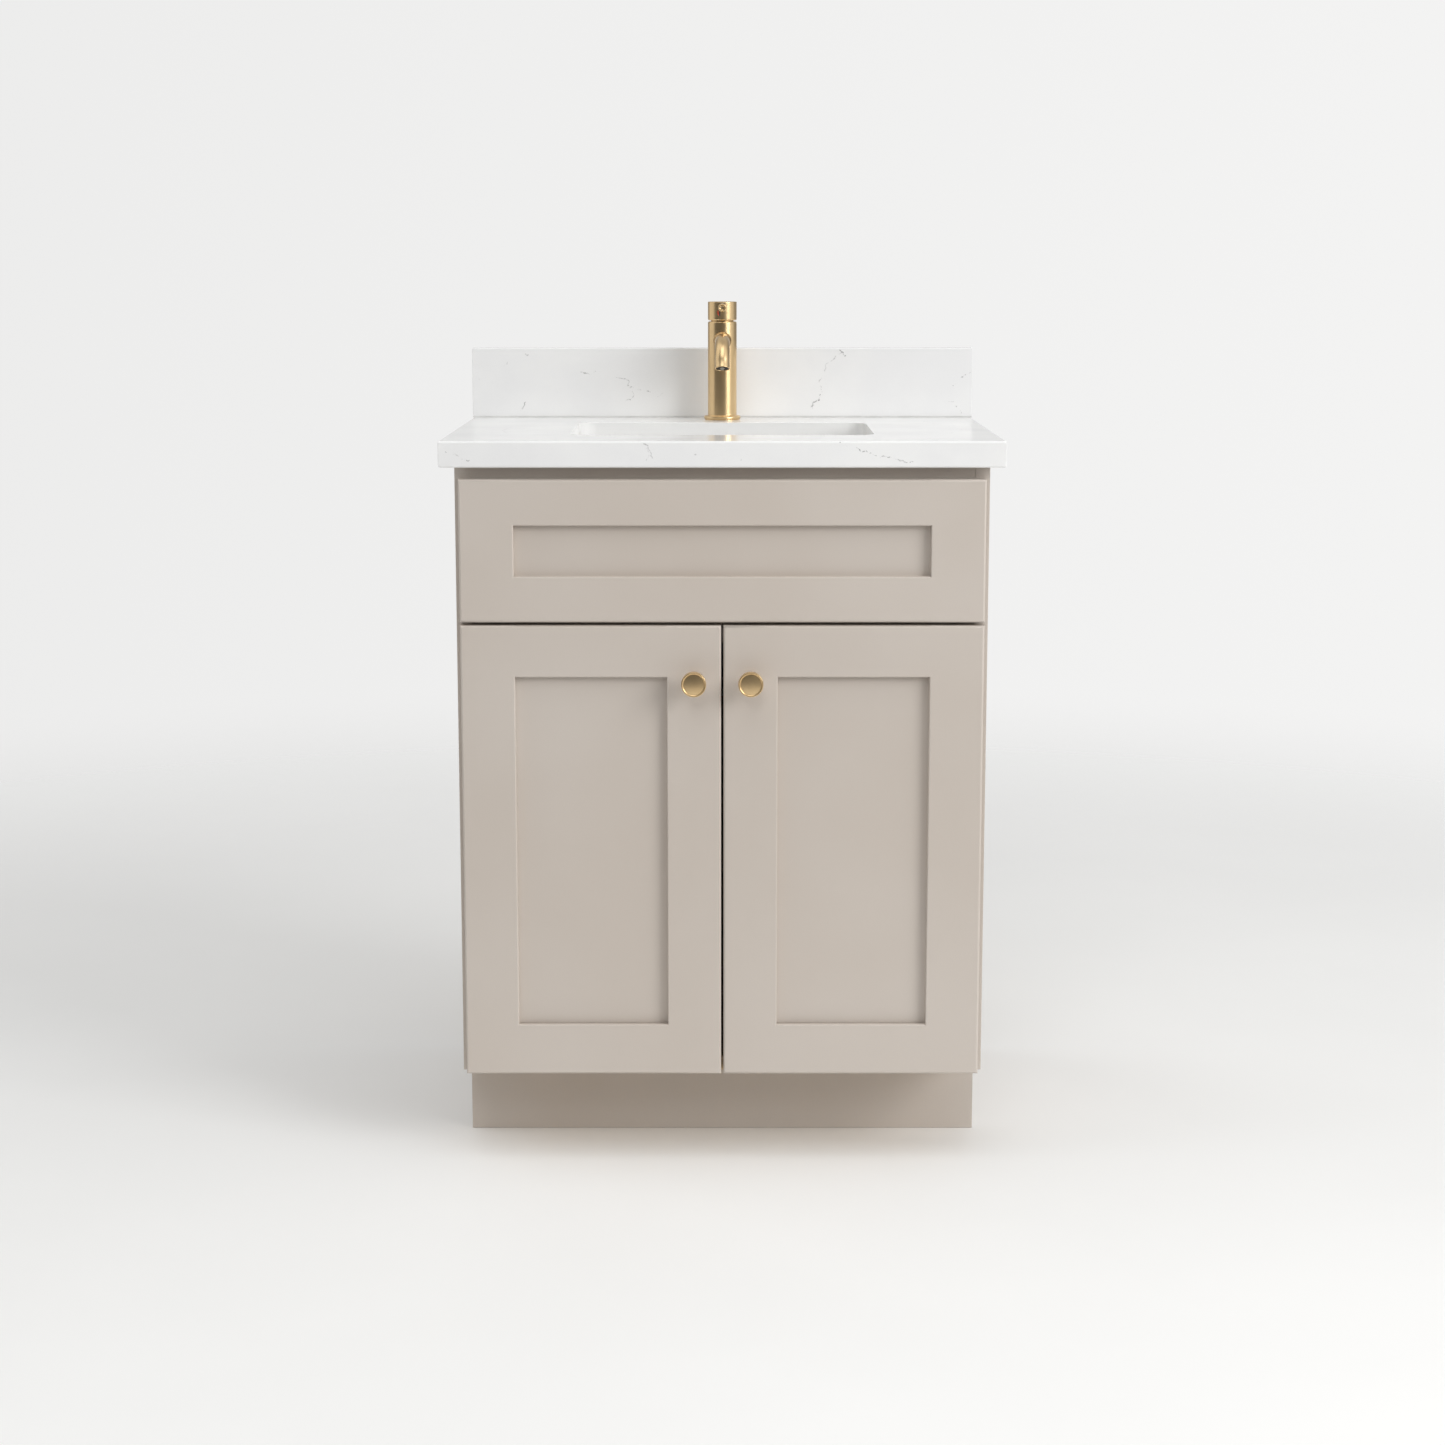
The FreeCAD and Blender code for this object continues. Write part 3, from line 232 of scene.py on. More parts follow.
def metal(light, dark, low, high, scale, depth=0.0):
    """A satin metal: a faint cloudiness in colour and gloss, and fine scratches where depth is given."""
    def build(n, shader):
        cloud = n.noise(scale, 2.0, 0.5)
        n.feed(shader.inputs["Base Color"], n.mix(n.ramp(cloud, 0.3, 0.7), light, dark))
        n.feed(shader.inputs["Roughness"], n.ramp(n.noise(scale * 0.6, 2.0), 0.3, 0.7, low, high))
        if depth:
            scratch = n.noise(scale * 9.0, 2.0, 0.6, n.stretched(1.0, 1.0, 8.0))
            n.feed(shader.inputs["Normal"], n.bump(scratch, depth, 0.2))
        shader.inputs["Metallic"].default_value = 1.0
    return build


def plastic(light, dark, rough):
    """Moulded plastic or rubber with a slight mottle and a fine grain."""
    def build(n, shader):
        n.feed(shader.inputs["Base Color"], n.mix(n.ramp(n.noise(60.0), 0.3, 0.7), light, dark))
        n.feed(shader.inputs["Roughness"], n.ramp(n.noise(120.0), 0.3, 0.7, rough - 0.05, rough + 0.05))
        n.feed(shader.inputs["Normal"], n.bump(n.noise(1500.0, 2.0), 0.00003, 0.3))
    return build


def aerator(n, shader):
    """The aerator's black insert, with a pale woven screen showing at its centre."""
    low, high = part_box("spout_aerator")
    off_centre = n.vector("SUBTRACT", n.place(), (low + high) / 2)
    off_axis = n.vector("MULTIPLY", off_centre, (1.0, 0.55, 0.0))
    reach = n.vector("LENGTH", off_axis)
    weave = n.ramp(n.noise(1500.0, 2.0), 0.42, 0.55)
    screen = n.math("MULTIPLY", n.ramp(reach, 2.2 * MM, 3.4 * MM, 1.0, 0.0), weave)
    n.feed(shader.inputs["Base Color"], n.mix(screen, srgb(14, 14, 14), srgb(196, 190, 178)))
    n.feed(shader.inputs["Roughness"], n.ramp(n.noise(400.0, 2.0), 0.3, 0.7, 0.5, 0.6))


def enamel(n, shader):
    """The handle's marks: red on the hot side, blue on the cold side."""
    across = n.add("ShaderNodeSeparateXYZ", {0: n.place()}).outputs["X"]
    side = n.ramp(across, -4.0 * MM, -3.9 * MM)
    n.feed(shader.inputs["Base Color"], n.mix(side, srgb(205, 84, 62), srgb(60, 66, 84)))
    n.feed(shader.inputs["Roughness"], n.ramp(n.noise(400.0), 0.3, 0.7, 0.22, 0.34))


# Veins as broken lines of (distance from the middle, distance below the top arris) in millimetres, each with
# how dark it is. Those on the top's surface are given as (x, distance behind the front edge).
EDGE_VEINS = [
    ([(-319, 10), (-309, 16), (-301, 17), (-294, 21), (-285, 22)], 0.5),
    ([(-93, 2), (-86, 6), (-81, 13), (-78, 19), (-73, 29)], 0.6),
    ([(-86, 9), (-82, 16), (-84, 21)], 0.35),
    ([(120, 0), (133, 2), (141, 7), (147, 5), (157, 12)], 0.7),
    ([(157, 12), (168, 15), (176, 19), (183, 17), (192, 21), (215, 23)], 0.65),
    ([(20, 18), (21, 23)], 0.35),
    ([(-36, 16), (-31, 15)], 0.3),
]
SPLASH_VEINS = [
    ([(-180, 31), (-170, 33), (-161, 31)], 0.45),
    ([(-154, 39), (-140, 36), (-125, 38), (-120, 41)], 0.6),
    ([(-120, 41), (-121, 48), (-109, 52), (-97, 54), (-81, 59)], 0.65),
    ([(-118, 50), (-114, 60), (-117, 66), (-125, 68), (-122, 75)], 0.5),
    ([(-258, 80), (-252, 70)], 0.6),
    ([(-252, 8), (-239, 11)], 0.3),
    ([(-291, 20), (-277, 23), (-275, 16)], 0.3),
    ([(-315, 31), (-312, 41)], 0.3),
    ([(112, 82), (117, 71), (124, 66), (127, 58), (132, 51)], 0.7),
    ([(127, 58), (125, 41), (130, 31), (135, 21), (146, 11), (153, 7)], 0.4),
    ([(150, 2), (158, 10)], 0.65),
    ([(290, 51), (303, 45), (306, 38), (317, 32)], 0.5),
    ([(286, 68), (299, 71), (307, 82)], 0.35),
    ([(-85, 64), (-76, 58)], 0.35),
]
TOP_VEINS = [
    ([(-300, 6), (-268, 70), (-250, 120), (-262, 190), (-256, 270)], 0.3),
    ([(-90, 4), (-112, 40), (-130, 70)], 0.3),
    ([(236, 50), (262, 120), (288, 200), (270, 290), (254, 370)], 0.3),
    ([(60, 410), (120, 420), (190, 435)], 0.3),
    ([(-230, 430), (-170, 420), (-100, 405)], 0.3),
]


def strokes(veins, place):
    """Every straight piece of the given veins as a pair of points on the object."""
    return [(place(*one), place(*two), strength)
            for points, strength in veins for one, two in zip(points, points[1:])]


def veins_of_top():
    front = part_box("countertop")[0].y
    return (strokes(EDGE_VEINS, lambda x, down: Vector((x * MM, front, STONE_TOP - down * MM)))
            + strokes(TOP_VEINS, lambda x, behind: Vector((x * MM, front + behind * MM, STONE_TOP))))


def veins_of_splash():
    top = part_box("backsplash")[1].z
    return strokes(SPLASH_VEINS, lambda x, down: Vector((x * MM, SPLASH_FACE, top - down * MM)))


GOLD_LIGHT, GOLD_DARK = srgb(226, 197, 151), srgb(221, 191, 144)
NICKEL_LIGHT, NICKEL_DARK = srgb(205, 204, 200), srgb(186, 185, 182)
ZINC_LIGHT, ZINC_DARK = srgb(190, 192, 196), srgb(166, 168, 173)
MATERIALS = {
    "painted_wood": material("satin_greige_paint", paint),
    "carcass_board": material("maple_veneer", board((22.0, 22.0, 1.4), (14.0, 14.0, 0.6))),
    "board_across": material("maple_veneer_across", board((1.4, 22.0, 22.0), (0.6, 14.0, 14.0))),
    "quartz": material("quartz_top", stone(veins_of_top())),
    "quartz_splash": material("quartz_splash", stone(veins_of_splash())),
    "basin_ceramic": material("vitreous_china", ceramic),
    "brushed_gold": material("brushed_gold", metal(GOLD_LIGHT, GOLD_DARK, 0.27, 0.30, 26.0)),
    "knob_gold": material("knob_gold", metal(GOLD_LIGHT, GOLD_DARK, 0.30, 0.34, 40.0)),
    "hinge_steel": material("nickel_plate", metal(NICKEL_LIGHT, NICKEL_DARK, 0.22, 0.32, 60.0, 0.00001)),
    "screw_steel": material("zinc_plate", metal(ZINC_LIGHT, ZINC_DARK, 0.28, 0.40, 80.0, 0.00001)),
    "black_rubber": material("black_rubber", plastic(srgb(38, 38, 38), srgb(28, 28, 28), 0.7)),
    "clear_bumper": material("clear_bumper", plastic(srgb(222, 222, 218), srgb(210, 210, 206), 0.3)),
    "white_plastic": material("white_plastic", plastic(srgb(232, 231, 226), srgb(222, 221, 216), 0.4)),
    "dark_plastic": material("dark_plastic", aerator),
    "sealant": material("white_sealant", plastic(srgb(206, 206, 204), srgb(194, 194, 192), 0.4)),
    "mark_enamel": material("mark_enamel", enamel),
}
SLOT_OF = {item["node"]: item["material_slot"] for item in frame["record"]["subparts"]}
SPECIAL = {"backsplash": "quartz_splash", "bottom_panel": "board_across",
           "left_door_knob": "knob_gold", "right_door_knob": "knob_gold"}


def look_of(node):
    """The material that a CAD node and the piece that stands for it both wear."""
    return MATERIALS[SPECIAL.get(node, SLOT_OF[node])]


for name, cad in nodes.items():
    for material_slot in cad.material_slots:
        material_slot.material = look_of(name)


# ------------------------------------------------------------------ pieces

BODIES = frame["record"]["behaviour"]["bodies"]
BODY_OF = {node: body for body, members in BODIES.items() for node in members}


def as_mesh(bm, name):
    """A mesh made from a bmesh, which is then let go."""
    mesh = bpy.data.meshes.new(name)
    bm.to_mesh(mesh)
    bm.free()
    return mesh


def finished(mesh, name, node):
    """Turn a mesh into a piece that rides with, and stands for, a CAD node."""
    piece = bpy.data.objects.new(name, mesh)
    scene.collection.objects.link(piece)
    mesh.materials.clear()
    mesh.materials.append(look_of(node))
    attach(piece, BODY_OF[node])
    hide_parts(node)
    return piece


def made_flat(mesh, join):
    """A bmesh of a CAD shape, with points nearer than join merged and each flat face in one piece."""
    bm = bmesh.new()
    bm.from_mesh(mesh)
    bmesh.ops.remove_doubles(bm, verts=bm.verts, dist=join)
    bmesh.ops.dissolve_limit(bm, angle_limit=radians(1.0), verts=bm.verts, edges=bm.edges,
                             use_dissolve_boundaries=False)
    return bm


def arrises(bm):
    """The edges where two faces meet at more than 28 degrees."""
    return [edge for edge in bm.edges
            if len(edge.link_faces) == 2 and edge.calc_face_angle(0) > radians(28)]


def softened(node, width):
    """The CAD shape again with its arrises rounded."""
    bm = made_flat(nodes[node].data, 0.01 * MM)
    bmesh.ops.bevel(bm, geom=arrises(bm), offset=width, offset_type="OFFSET", segments=3, profile=0.5,
                    affect="EDGES", clamp_overlap=True, miter_outer="ARC")
    for face in bm.faces:
        face.smooth = True
    weighted(finished(as_mesh(bm, node), node + "_finished", node))


def weighted(piece, angle=35):
    """Smooth shading that keeps flat faces flat."""
    bpy.context.view_layer.objects.active = piece
    for edge in piece.data.edges:
        edge.use_edge_sharp = False
    piece.data.set_sharp_from_angle(angle=radians(angle))
    modifier = piece.modifiers.new("weighted", "WEIGHTED_NORMAL")
    modifier.keep_sharp = True
    modifier.weight = 100
    with bpy.context.temp_override(object=piece, active_object=piece, selected_objects=[piece]):
        bpy.ops.object.modifier_apply(modifier=modifier.name)


def rounded_profile(corners, steps=6):
    """An outline of (radius, height, corner rounding) points with each corner turned into an arc."""
    points = [Vector((r, h)) for r, h, _ in corners]
    outline = []
    for i, (_, _, rounding) in enumerate(corners):
        here = points[i]
        if rounding <= 0 or i in (0, len(corners) - 1):
            outline.append(here)
            continue
        back, ahead = (points[i - 1] - here), (points[i + 1] - here)
        reach = min(rounding, back.length * 0.49, ahead.length * 0.49)
        start, end = here + back.normalized() * reach, here + ahead.normalized() * reach
        for k in range(steps + 1):
            t = k / steps
            outline.append(start * (1 - t) ** 2 + here * 2 * t * (1 - t) + end * t ** 2)
    return outline


def turned(corners, origin, axis, segments=128):
    """A turned shape: the outline of (radius, height, rounding) millimetres spun about an axis."""
    outline = rounded_profile(corners)
    turn = Vector((0, 0, 1)).rotation_difference(Vector(axis)).to_matrix().to_4x4()
    place = Matrix.Translation(origin) @ turn
    bm = bmesh.new()
    rings = []
    for point in outline:
        if point.x < 1e-6:
            rings.append([bm.verts.new(place @ Vector((0, 0, point.y * MM)))])
        else:
            rings.append([bm.verts.new(place @ Vector((point.x * MM * cos(2 * pi * s / segments),
                                                       point.x * MM * sin(2 * pi * s / segments),
                                                       point.y * MM))) for s in range(segments)])
    for low, high in zip(rings, rings[1:]):
        for s in range(segments):
            t = (s + 1) % segments
            if len(low) == 1 and len(high) == 1:
                continue
            if len(low) == 1:
                bm.faces.new((low[0], high[t], high[s]))
            elif len(high) == 1:
                bm.faces.new((low[s], low[t], high[0]))
            else:
                bm.faces.new((low[s], low[t], high[t], high[s]))
    bmesh.ops.recalc_face_normals(bm, faces=bm.faces)
    for face in bm.faces:
        face.smooth = True
    return bm


def lathe(name, corners, origin, axis, node, segments=128):
    """A turned piece that stands for a CAD node."""
    return finished(as_mesh(turned(corners, origin, axis, segments), name), name, node)


# Framed fronts: stiles and rails are joined, the arrises of the whole frame are rounded as a painter's
# sanding leaves them, and the frame is then parted again at its joints.

def combined(meshes, operation="UNION"):
    """One mesh from several by a boolean; the sources stay as they are."""
    temporary = []
    for mesh in meshes:
        temporary.append(bpy.data.objects.new("temporary", mesh))
        scene.collection.objects.link(temporary[-1])
    for tool in temporary[1:]:
        modifier = temporary[0].modifiers.new("boolean", "BOOLEAN")
        modifier.operation = operation
        modifier.solver = "EXACT"
        modifier.object = tool
    graph = bpy.context.evaluated_depsgraph_get()
    result = bpy.data.meshes.new_from_object(temporary[0].evaluated_get(graph))
    for item in temporary:
        bpy.data.objects.remove(item)
    return result


PANEL_ARRIS, OUTER_ARRIS = 1.6 * MM, 0.8 * MM


def framed_front(front, first_stile, second_stile):
    """The four members of a door's or drawer front's frame, with their arrises rounded."""
    stiles = [f"{front}_{first_stile}", f"{front}_{second_stile}"]
    rails = [f"{front}_top_rail", f"{front}_bottom_rail"]
    left, right = sorted((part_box(stile) for stile in stiles), key=lambda corners: corners[0].x)
    upper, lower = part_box(rails[0]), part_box(rails[1])
    whole = combined([nodes[name].data for name in stiles + rails])
    bm = made_flat(whole, 0.02 * MM)
    face = left[0].y

    def on_face(edge):
        return all(abs(vertex.co.y - face) < 0.05 * MM for vertex in edge.verts)

    def beside_panel(edge):
        middle = (edge.verts[0].co + edge.verts[1].co) / 2
        return (left[1].x - MM < middle.x < right[0].x + MM
                and lower[1].z - MM < middle.z < upper[0].z + MM)

    for inner, width in ((True, PANEL_ARRIS), (False, OUTER_ARRIS)):
        edges = [edge for edge in arrises(bm) if on_face(edge) and beside_panel(edge) == inner]
        bmesh.ops.bevel(bm, geom=edges, offset=width, offset_type="OFFSET", segments=4, profile=0.5,
                        affect="EDGES", clamp_overlap=True)
    joints = (left[1].x + 0.02 * MM, right[0].x - 0.02 * MM)
    middle = (joints[0] + joints[1]) / 2
    height = (lower[1].z + upper[0].z) / 2
    cuts = {}
    for name in stiles:
        on_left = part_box(name)[0].x < middle
        cuts[name] = [((joints[0] if on_left else joints[1], 0, 0), (1 if on_left else -1, 0, 0))]
    for name, upward in zip(rails, (-1, 1)):
        cuts[name] = [((joints[0], 0, 0), (-1, 0, 0)), ((joints[1], 0, 0), (1, 0, 0)),
                      ((0, 0, height), (0, 0, upward))]
    for name, planes in cuts.items():
        part = bm.copy()
        for place, normal in planes:
            bmesh.ops.bisect_plane(part, geom=part.verts[:] + part.edges[:] + part.faces[:], dist=0.0000001,
                                   plane_co=place, plane_no=normal, clear_outer=True)
            bmesh.ops.holes_fill(part, edges=[edge for edge in part.edges if edge.is_boundary], sides=0)
        for polygon in part.faces:
            polygon.smooth = True
        weighted(finished(as_mesh(part, name), name + "_finished", name))
    bm.free()
    bpy.data.meshes.remove(whole)


framed_front("false_front", "left_stile", "right_stile")
framed_front("left_door", "outer_stile", "inner_stile")
framed_front("right_door", "outer_stile", "inner_stile")

for node, width in (("countertop", 0.7), ("backsplash", 0.7), ("left_side_panel", 0.5),
                    ("right_side_panel", 0.5), ("toe_kick_board", 0.5), ("front_top_rail", 0.3)):
    softened(node, width * MM)


# ------------------------------------------------------------------ knobs

def knob(side):
    """A door's knob: a turned stem and a head with a shallow dished face."""
    low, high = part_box(f"{side}_door_knob")
    centre = Vector(((low.x + high.x) / 2, high.y, (low.z + high.z) / 2))
    radius = (high.x - low.x) / 2 / MM
    reach = (high.y - low.y) / MM
    corners = [
        (2.0, 0.0, 0), (9.0, 0.0, 0.3), (9.0, 1.4, 0.8), (5.6, 3.0, 2.0), (5.4, 11.0, 3.0), (7.0, 16.6, 2.5),
        (radius, 19.2, 1.4), (radius, reach - 0.1, 1.1), (radius - 1.7, reach - 0.1, 0.7),
        (radius - 2.4, reach - 1.0, 0.4)]
    face = radius - 2.5
    corners += [(face * (1 - k / 12), reach - 0.05 - 0.95 * (1 - k / 12) ** 2, 0) for k in range(13)]
    lathe(f"{side}_knob_turned", corners, centre, (0, -1, 0), f"{side}_door_knob")


knob("left")
knob("right")


# ------------------------------------------------------------------ faucet

# In millimetres, but SPOUT_TURN and TILT in degrees. Heights are above the stone's top face, and lengths run
# along the spout's centre line from the faucet's axis.
BODY_RADIUS = 18.2
SPOUT_RADIUS = 9.2
SPOUT_START = 22.5
SPOUT_AXIS, SPOUT_RUN, SPOUT_BEND, SPOUT_TURN, SPOUT_DROP = 99.6, 62.0, 34.0, 70.0, 10.0
OUTLET_BORE = 8.1
WATERWAY = 6.5
TILT = 20
PIVOT = AXIS + Vector((0, 0, 131.0 * MM))
PIN = AXIS + Vector((0, 0, 141.3 * MM))


def ring_mesh(rings):
    """A skin over rings of points that closes on itself."""
    bm = bmesh.new()
    skins = [[bm.verts.new(point) for point in ring] for ring in rings]
    for one, two in zip(skins, skins[1:] + skins[:1]):
        for s in range(len(one)):
            t = (s + 1) % len(one)
            bm.faces.new((one[s], one[t], two[t], two[s]))
    bmesh.ops.recalc_face_normals(bm, faces=bm.faces)
    for face in bm.faces:
        face.smooth = True
    return bm


def spout_centre(length):
    """Point and direction on the spout's centre line, in millimetres from the faucet's foot."""
    if length <= SPOUT_RUN:
        return Vector((0, -length, SPOUT_AXIS)), Vector((0, -1, 0))
    arc = SPOUT_BEND * radians(SPOUT_TURN)
    turn = min(length - SPOUT_RUN, arc) / SPOUT_BEND
    point = Vector((0, -SPOUT_RUN - SPOUT_BEND * sin(turn), SPOUT_AXIS - SPOUT_BEND * (1 - cos(turn))))
    along = Vector((0, -cos(turn), -sin(turn)))
    return point + along * max(0.0, length - SPOUT_RUN - arc), along


def spout():
    """The spout: a fillet where it leaves the body, the bend, and a thin rounded lip at the outlet."""
    around = 96
    fillet = 2.6
    rings = []
    for step in range(9):
        swing = step / 8 * pi / 2
        ahead, grow = fillet * (1 - cos(swing)), fillet * (1 - sin(swing))
        radius = SPOUT_RADIUS + grow
        ring = []
        for s in range(around):
            angle = 2 * pi * s / around
            x = radius * sin(angle)
            saddle = (BODY_RADIUS ** 2 - min(abs(x), BODY_RADIUS) ** 2) ** 0.5
            ring.append(AXIS + Vector((x, -saddle + 0.15 - ahead, SPOUT_AXIS + radius * cos(angle))) * MM)
        rings.append(ring)
    total = SPOUT_RUN + SPOUT_BEND * radians(SPOUT_TURN) + SPOUT_DROP
    stations = [(SPOUT_START + (SPOUT_RUN - SPOUT_START) * k / 6, SPOUT_RADIUS) for k in range(7)]
    stations += [(SPOUT_RUN + SPOUT_BEND * radians(SPOUT_TURN) * k / 28, SPOUT_RADIUS) for k in range(1, 29)]
    stations += [(total - 1.6, SPOUT_RADIUS), (total - 1.0, SPOUT_RADIUS + 0.18),
                 (total - 0.6, SPOUT_RADIUS + 0.22), (total - 0.25, SPOUT_RADIUS + 0.1),
                 (total - 0.05, SPOUT_RADIUS - 0.2), (total, SPOUT_RADIUS - 0.5),
                 (total, OUTLET_BORE + 0.25), (total - 0.1, OUTLET_BORE + 0.07),
                 (total - 0.3, OUTLET_BORE), (total - 9.0, OUTLET_BORE), (total - 9.0, WATERWAY),
                 (20.0, WATERWAY)]
    for length, radius in stations:
        point, along = spout_centre(length)
        up = Vector((1, 0, 0)).cross(along)
        if up.z < 0:
            up = -up
        rings.append([AXIS + (point + Vector((1, 0, 0)) * radius * sin(2 * pi * s / around)
                              + up * radius * cos(2 * pi * s / around)) * MM for s in range(around)])
    finished(as_mesh(ring_mesh(rings), "spout"), "spout_swept", "faucet_spout")


def block(low, high):
    """A plain box as a mesh, for carving."""
    bm = bmesh.new()
    bmesh.ops.create_cube(bm, size=1.0)
    low, high = Vector(low), Vector(high)
    for vertex in bm.verts:
        vertex.co = Vector(low[i] + (vertex.co[i] + 0.5) * (high[i] - low[i]) for i in range(3))
    return as_mesh(bm, "block")


def faucet():
    """The faucet's visible pieces: body, base ring, spout, handle cap and pin, and the marks."""
    lathe("faucet_body_turned", [
        (0, 1.0, 0), (22.2, 1.0, 0.4), (23.2, 2.0, 1.0), (23.2, 4.4, 1.7), (21.4, 5.4, 1.3),
        (18.8, 5.4, 0.4), (BODY_RADIUS, 6.0, 0.5), (BODY_RADIUS, 122.3, 0.8), (17.1, 123.4, 0.4),
        (14.6, 123.4, 0.3), (14.6, 87.4, 0), (0, 87.4, 0)], AXIS, (0, 0, 1), "faucet_body")
    lathe("base_ring_turned", [(15.2, 0.0, 0), (22.3, 0.0, 0.2), (22.3, 1.0, 0.2), (15.2, 1.0, 0)],
          AXIS, (0, 0, 1), "faucet_base_ring")
    spout()

    cap = as_mesh(turned([
        (0, 144.2, 0), (15.8, 144.2, 0.3), (15.8, 124.8, 0.2), (17.1, 124.8, 0.4), (BODY_RADIUS, 125.9, 0.8),
        (BODY_RADIUS, 148.2, 2.6), (16.0, 148.2, 0.8), (15.2, 147.95, 0.6), (0, 147.95, 0)],
        AXIS, (0, 0, 1)), "cap")
    # The cap's underside is cut away at the back, so that the handle can tilt.
    relief = block((-30 * MM, PIVOT.y, AXIS.z + 104.8 * MM),
                   (30 * MM, PIVOT.y + 40 * MM, AXIS.z + 124.8 * MM))
    relief.transform(Matrix.Translation(PIVOT) @ Matrix.Rotation(radians(TILT), 4, "X")
                     @ Matrix.Translation(-PIVOT))
    seat_outline = [(0, 13.2, 0), (3.5, 13.2, 0), (3.5, 25.0, 0), (0, 25.0, 0)]
    seat = as_mesh(turned(seat_outline, PIN, (0, -1, 0)), "seat")
    ears = [block(AXIS + Vector((x - 5, -4, 127)) * MM, AXIS + Vector((x + 5, 4, 145.2)) * MM)
            for x in (-11, 11)]
    shell = combined([combined([cap, relief, seat], "DIFFERENCE")] + ears)
    weighted(finished(shell, "handle_cap_turned", "handle_cap"), 32)

    lathe("handle_pin_turned", [
        (0, 14.2, 0), (3.5, 14.2, 0), (3.5, 18.0, 0), (4.7, 18.0, 0.3), (5.1, 18.5, 0.3), (5.1, 39.0, 0.9),
        (4.2, 40.0, 0.8), (3.3, 39.8, 0.6), (2.7, 38.4, 0.8), (0, 38.1, 0)], PIN, (0, -1, 0), "handle_pin",
        segments=96)

    marks = bmesh.new()
    for points in (((-5.3, 3.6), (-5.6, 5.4), (-5.2, 7.8), (-4.0, 10.8)),
                   ((-3.1, 5.0), (-3.5, 6.4), (-3.4, 8.2), (-2.9, 10.4))):
        widths = (0.5, 1.0, 0.95, 0.45) if points[0][0] < -5 else (0.3, 0.45, 0.45, 0.3)
        strips = []
        for (x, drop), width in zip(points, widths):
            strip = []
            for edge_x, lift in ((x - width, 0.02), (x - width, 0.14), (x + width, 0.14), (x + width, 0.02)):
                y = -(((BODY_RADIUS + lift) ** 2 - edge_x ** 2) ** 0.5)
                strip.append(marks.verts.new(PIN + Vector((edge_x, y, -drop)) * MM))
            strips.append(strip)
        for upper, lower in zip(strips, strips[1:]):
            for s in range(3):
                marks.faces.new((upper[s], upper[s + 1], lower[s + 1], lower[s]))
        marks.faces.new(strips[0])
        marks.faces.new(strips[-1][::-1])
    bmesh.ops.recalc_face_normals(marks, faces=marks.faces)
    finished(as_mesh(marks, "marks"), "temperature_marks_curved", "temperature_marks")


faucet()


# ------------------------------------------------------------------ camera, light and floor

# The lens in millimetres, how far it looks down in degrees, and where it stands in metres.
LENS = 68.68
PITCH = 9.68
DISTANCE = 3.13756
ASIDE, EYE = 0.00027, 1.05397

camera = bpy.data.objects.new("camera", bpy.data.cameras.new("camera"))
camera.data.lens = LENS
camera.data.sensor_width = 36.0
camera.data.clip_end = 100.0
camera.location = (ASIDE, FRONT - DISTANCE, EYE)
camera.rotation_euler = (radians(90 - PITCH), 0, 0)
scene.collection.objects.link(camera)
scene.camera = camera


def area_light(name, position, target, width, height, power):
    """A white soft box of the given size and watts, aimed at a point."""
    light = bpy.data.lights.new(name, "AREA")
    light.shape = "RECTANGLE"
    light.size, light.size_y = width, height
    light.energy = power
    lamp = bpy.data.objects.new(name, light)
    lamp.location = position
    aim = Vector(target) - Vector(position)
    lamp.rotation_euler = aim.to_track_quat("-Z", "Y").to_euler()
    scene.collection.objects.link(lamp)
    return lamp


MIDDLE = (0.0, 0.0, 0.6)
area_light("key", (3.4, FRONT - 2.65, 2.3), MIDDLE, 2.2, 2.0, 98.0)
front_fill = area_light("front_fill", (-0.7, FRONT - 5.6, 4.4), MIDDLE, 2.0, 2.0, 50.0)
area_light("top", (0.0, FRONT - 1.3, 4.0), (0.0, FRONT - 0.2, 0.4), 2.4, 2.4, 29.0)
front_fill.visible_glossy = False

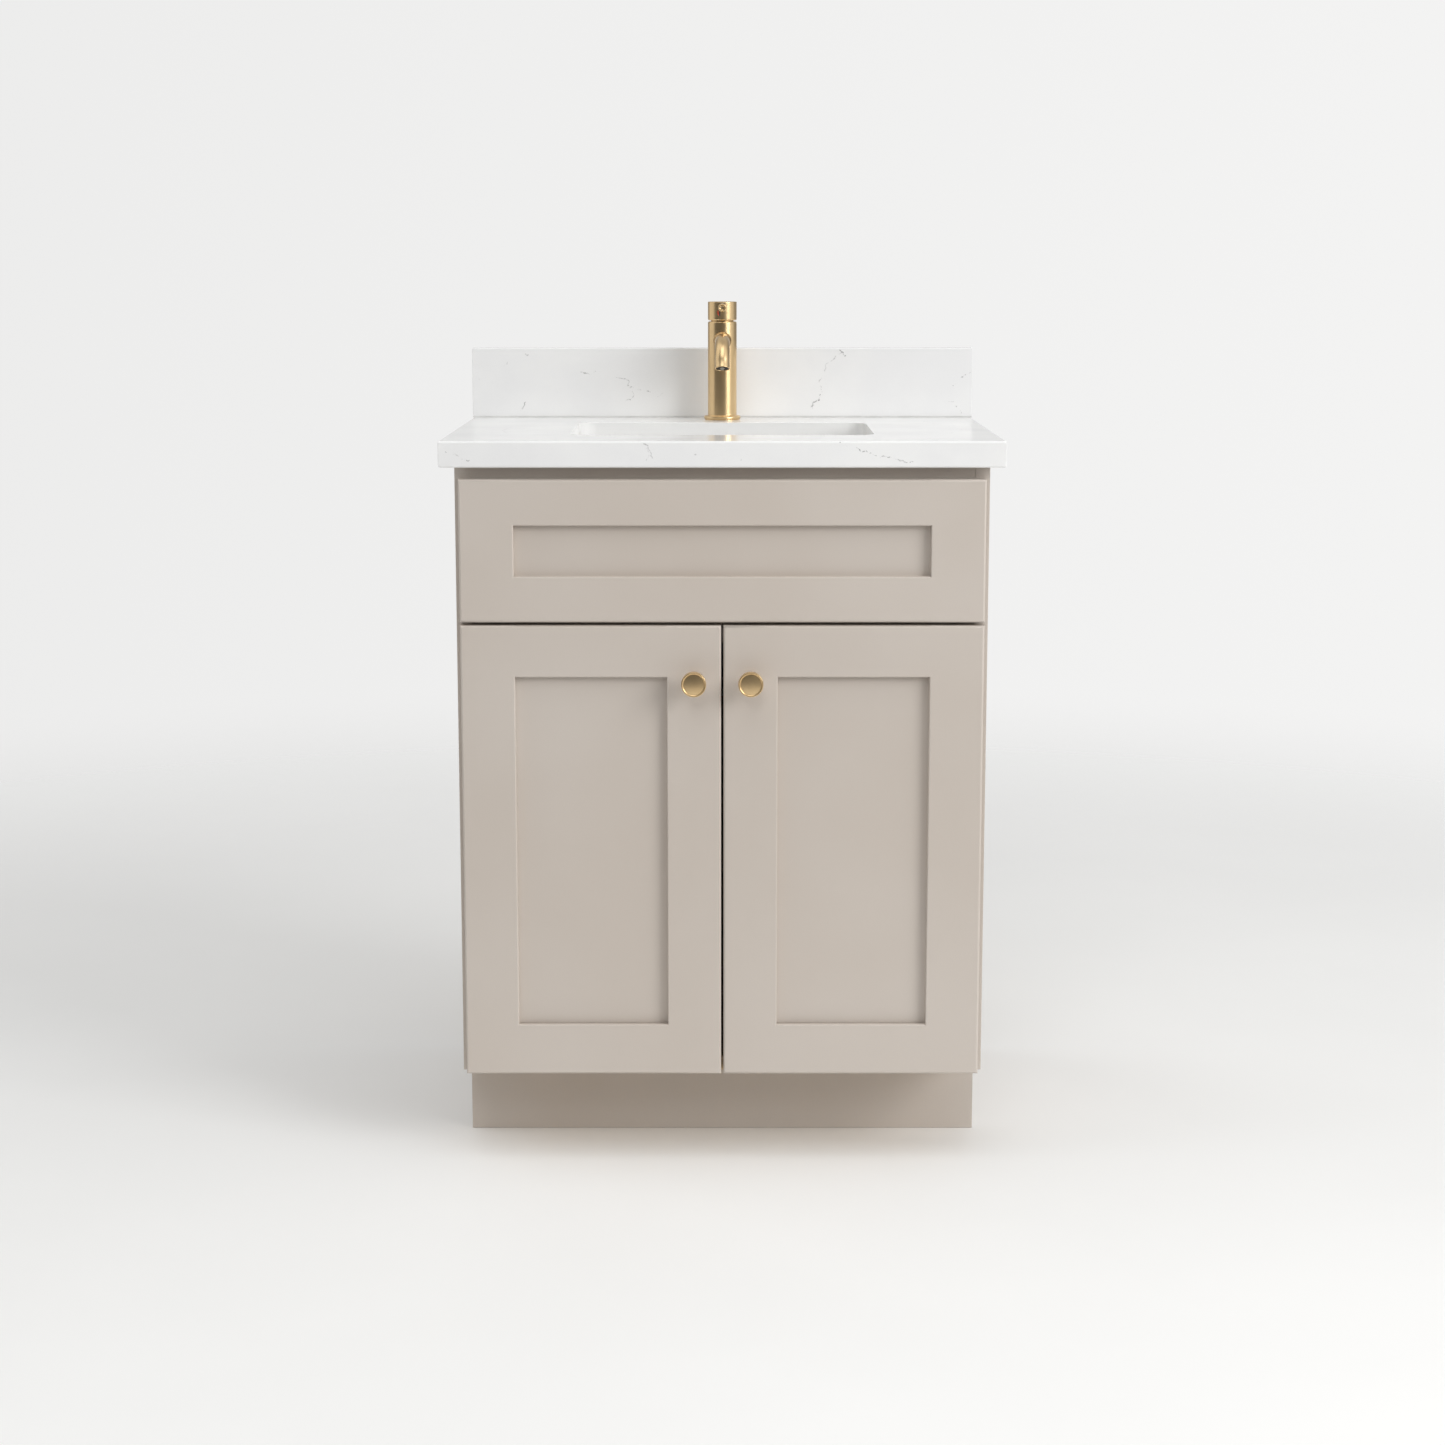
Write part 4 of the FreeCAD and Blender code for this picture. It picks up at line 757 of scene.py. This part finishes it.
# The studio round the cabinet: a dark gap behind the viewer, a bright wall to the right, a panel to the
# left, and paler parts above, below and behind. What the camera sees of it is a level of its own, apart from
# the light that it gives, with a painted shade across it: darker on the left and lighter on the right.
world = bpy.data.worlds.new("studio")
scene.world = world
world.use_nodes = True
world.node_tree.nodes.clear()
w = Nodes(world.node_tree)
direction = w.add("ShaderNodeTexCoord").outputs["Generated"]
axes = w.add("ShaderNodeSeparateXYZ", {0: direction})
turn = w.math("ARCTAN2", axes.outputs["X"], w.math("MULTIPLY", axes.outputs["Y"], -1.0))
right_wall = w.math("MULTIPLY", w.ramp(turn, radians(26), radians(52), 0.0, 0.85),
                    w.ramp(turn, radians(92), radians(120), 1.0, 0.0))
left_panel = w.math("MULTIPLY", w.ramp(turn, radians(-74), radians(-60), 0.95, 0.0),
                    w.ramp(turn, radians(-135), radians(-112)))
overhead = w.ramp(axes.outputs["Z"], 0.25, 0.7, 0.0, 0.42)
ground = w.ramp(axes.outputs["Z"], -0.35, -0.05, 0.55, 0.0)
backdrop = w.math("ADD", w.ramp(axes.outputs["Y"], 0.1, 0.6, 0.0, 0.28),
                  w.ramp(axes.outputs["Y"], 0.85, 0.96, 0.0, 0.5))
total = 0.14
for surface in (right_wall, left_panel, overhead, ground, backdrop):
    total = w.math("ADD", surface, total)
studio_level = w.math("MULTIPLY", total, 0.72)
# Painted shade on the backdrop that the camera sees: darker on the left, lighter on the right.
backdrop_painted_shade = w.ramp(axes.outputs["X"], -0.25, 0.25, 0.845, 0.898, smooth=False)
seen = w.add("ShaderNodeLightPath").outputs["Is Camera Ray"]
level = w.add("ShaderNodeMix", {0: seen, 2: studio_level, 3: backdrop_painted_shade}).outputs[0]
background = w.add("ShaderNodeBackground", {"Color": (1.0, 0.998, 0.992, 1.0), "Strength": level})
w.add("ShaderNodeOutputWorld", {"Surface": background.outputs[0]})


def floor():
    """A pale seamless floor that melts into the background away from the cabinet."""
    bm = bmesh.new()
    bmesh.ops.create_circle(bm, cap_ends=True, segments=96, radius=14.0)
    obj = bpy.data.objects.new("floor", as_mesh(bm, "floor"))
    obj.location = (0, 0, -0.0002)
    scene.collection.objects.link(obj)

    def build(n, shader):
        far = n.vector("LENGTH", n.place())
        cloudy = n.ramp(n.noise(2.0), 0.3, 0.7)
        n.feed(shader.inputs["Base Color"], n.mix(cloudy, srgb(241, 241, 240), srgb(243, 243, 242)))
        shader.inputs["Roughness"].default_value = 0.75
        shader.inputs["Specular IOR Level"].default_value = 0.2
        n.feed(shader.inputs["Alpha"], n.ramp(far, 1.0, 3.4, 1.0, 0.0))
    obj.data.materials.append(material("studio_floor", build))


floor()
scene.view_settings.view_transform = "Standard"
scene.view_settings.look = "None"
scene.view_settings.exposure = 0.0
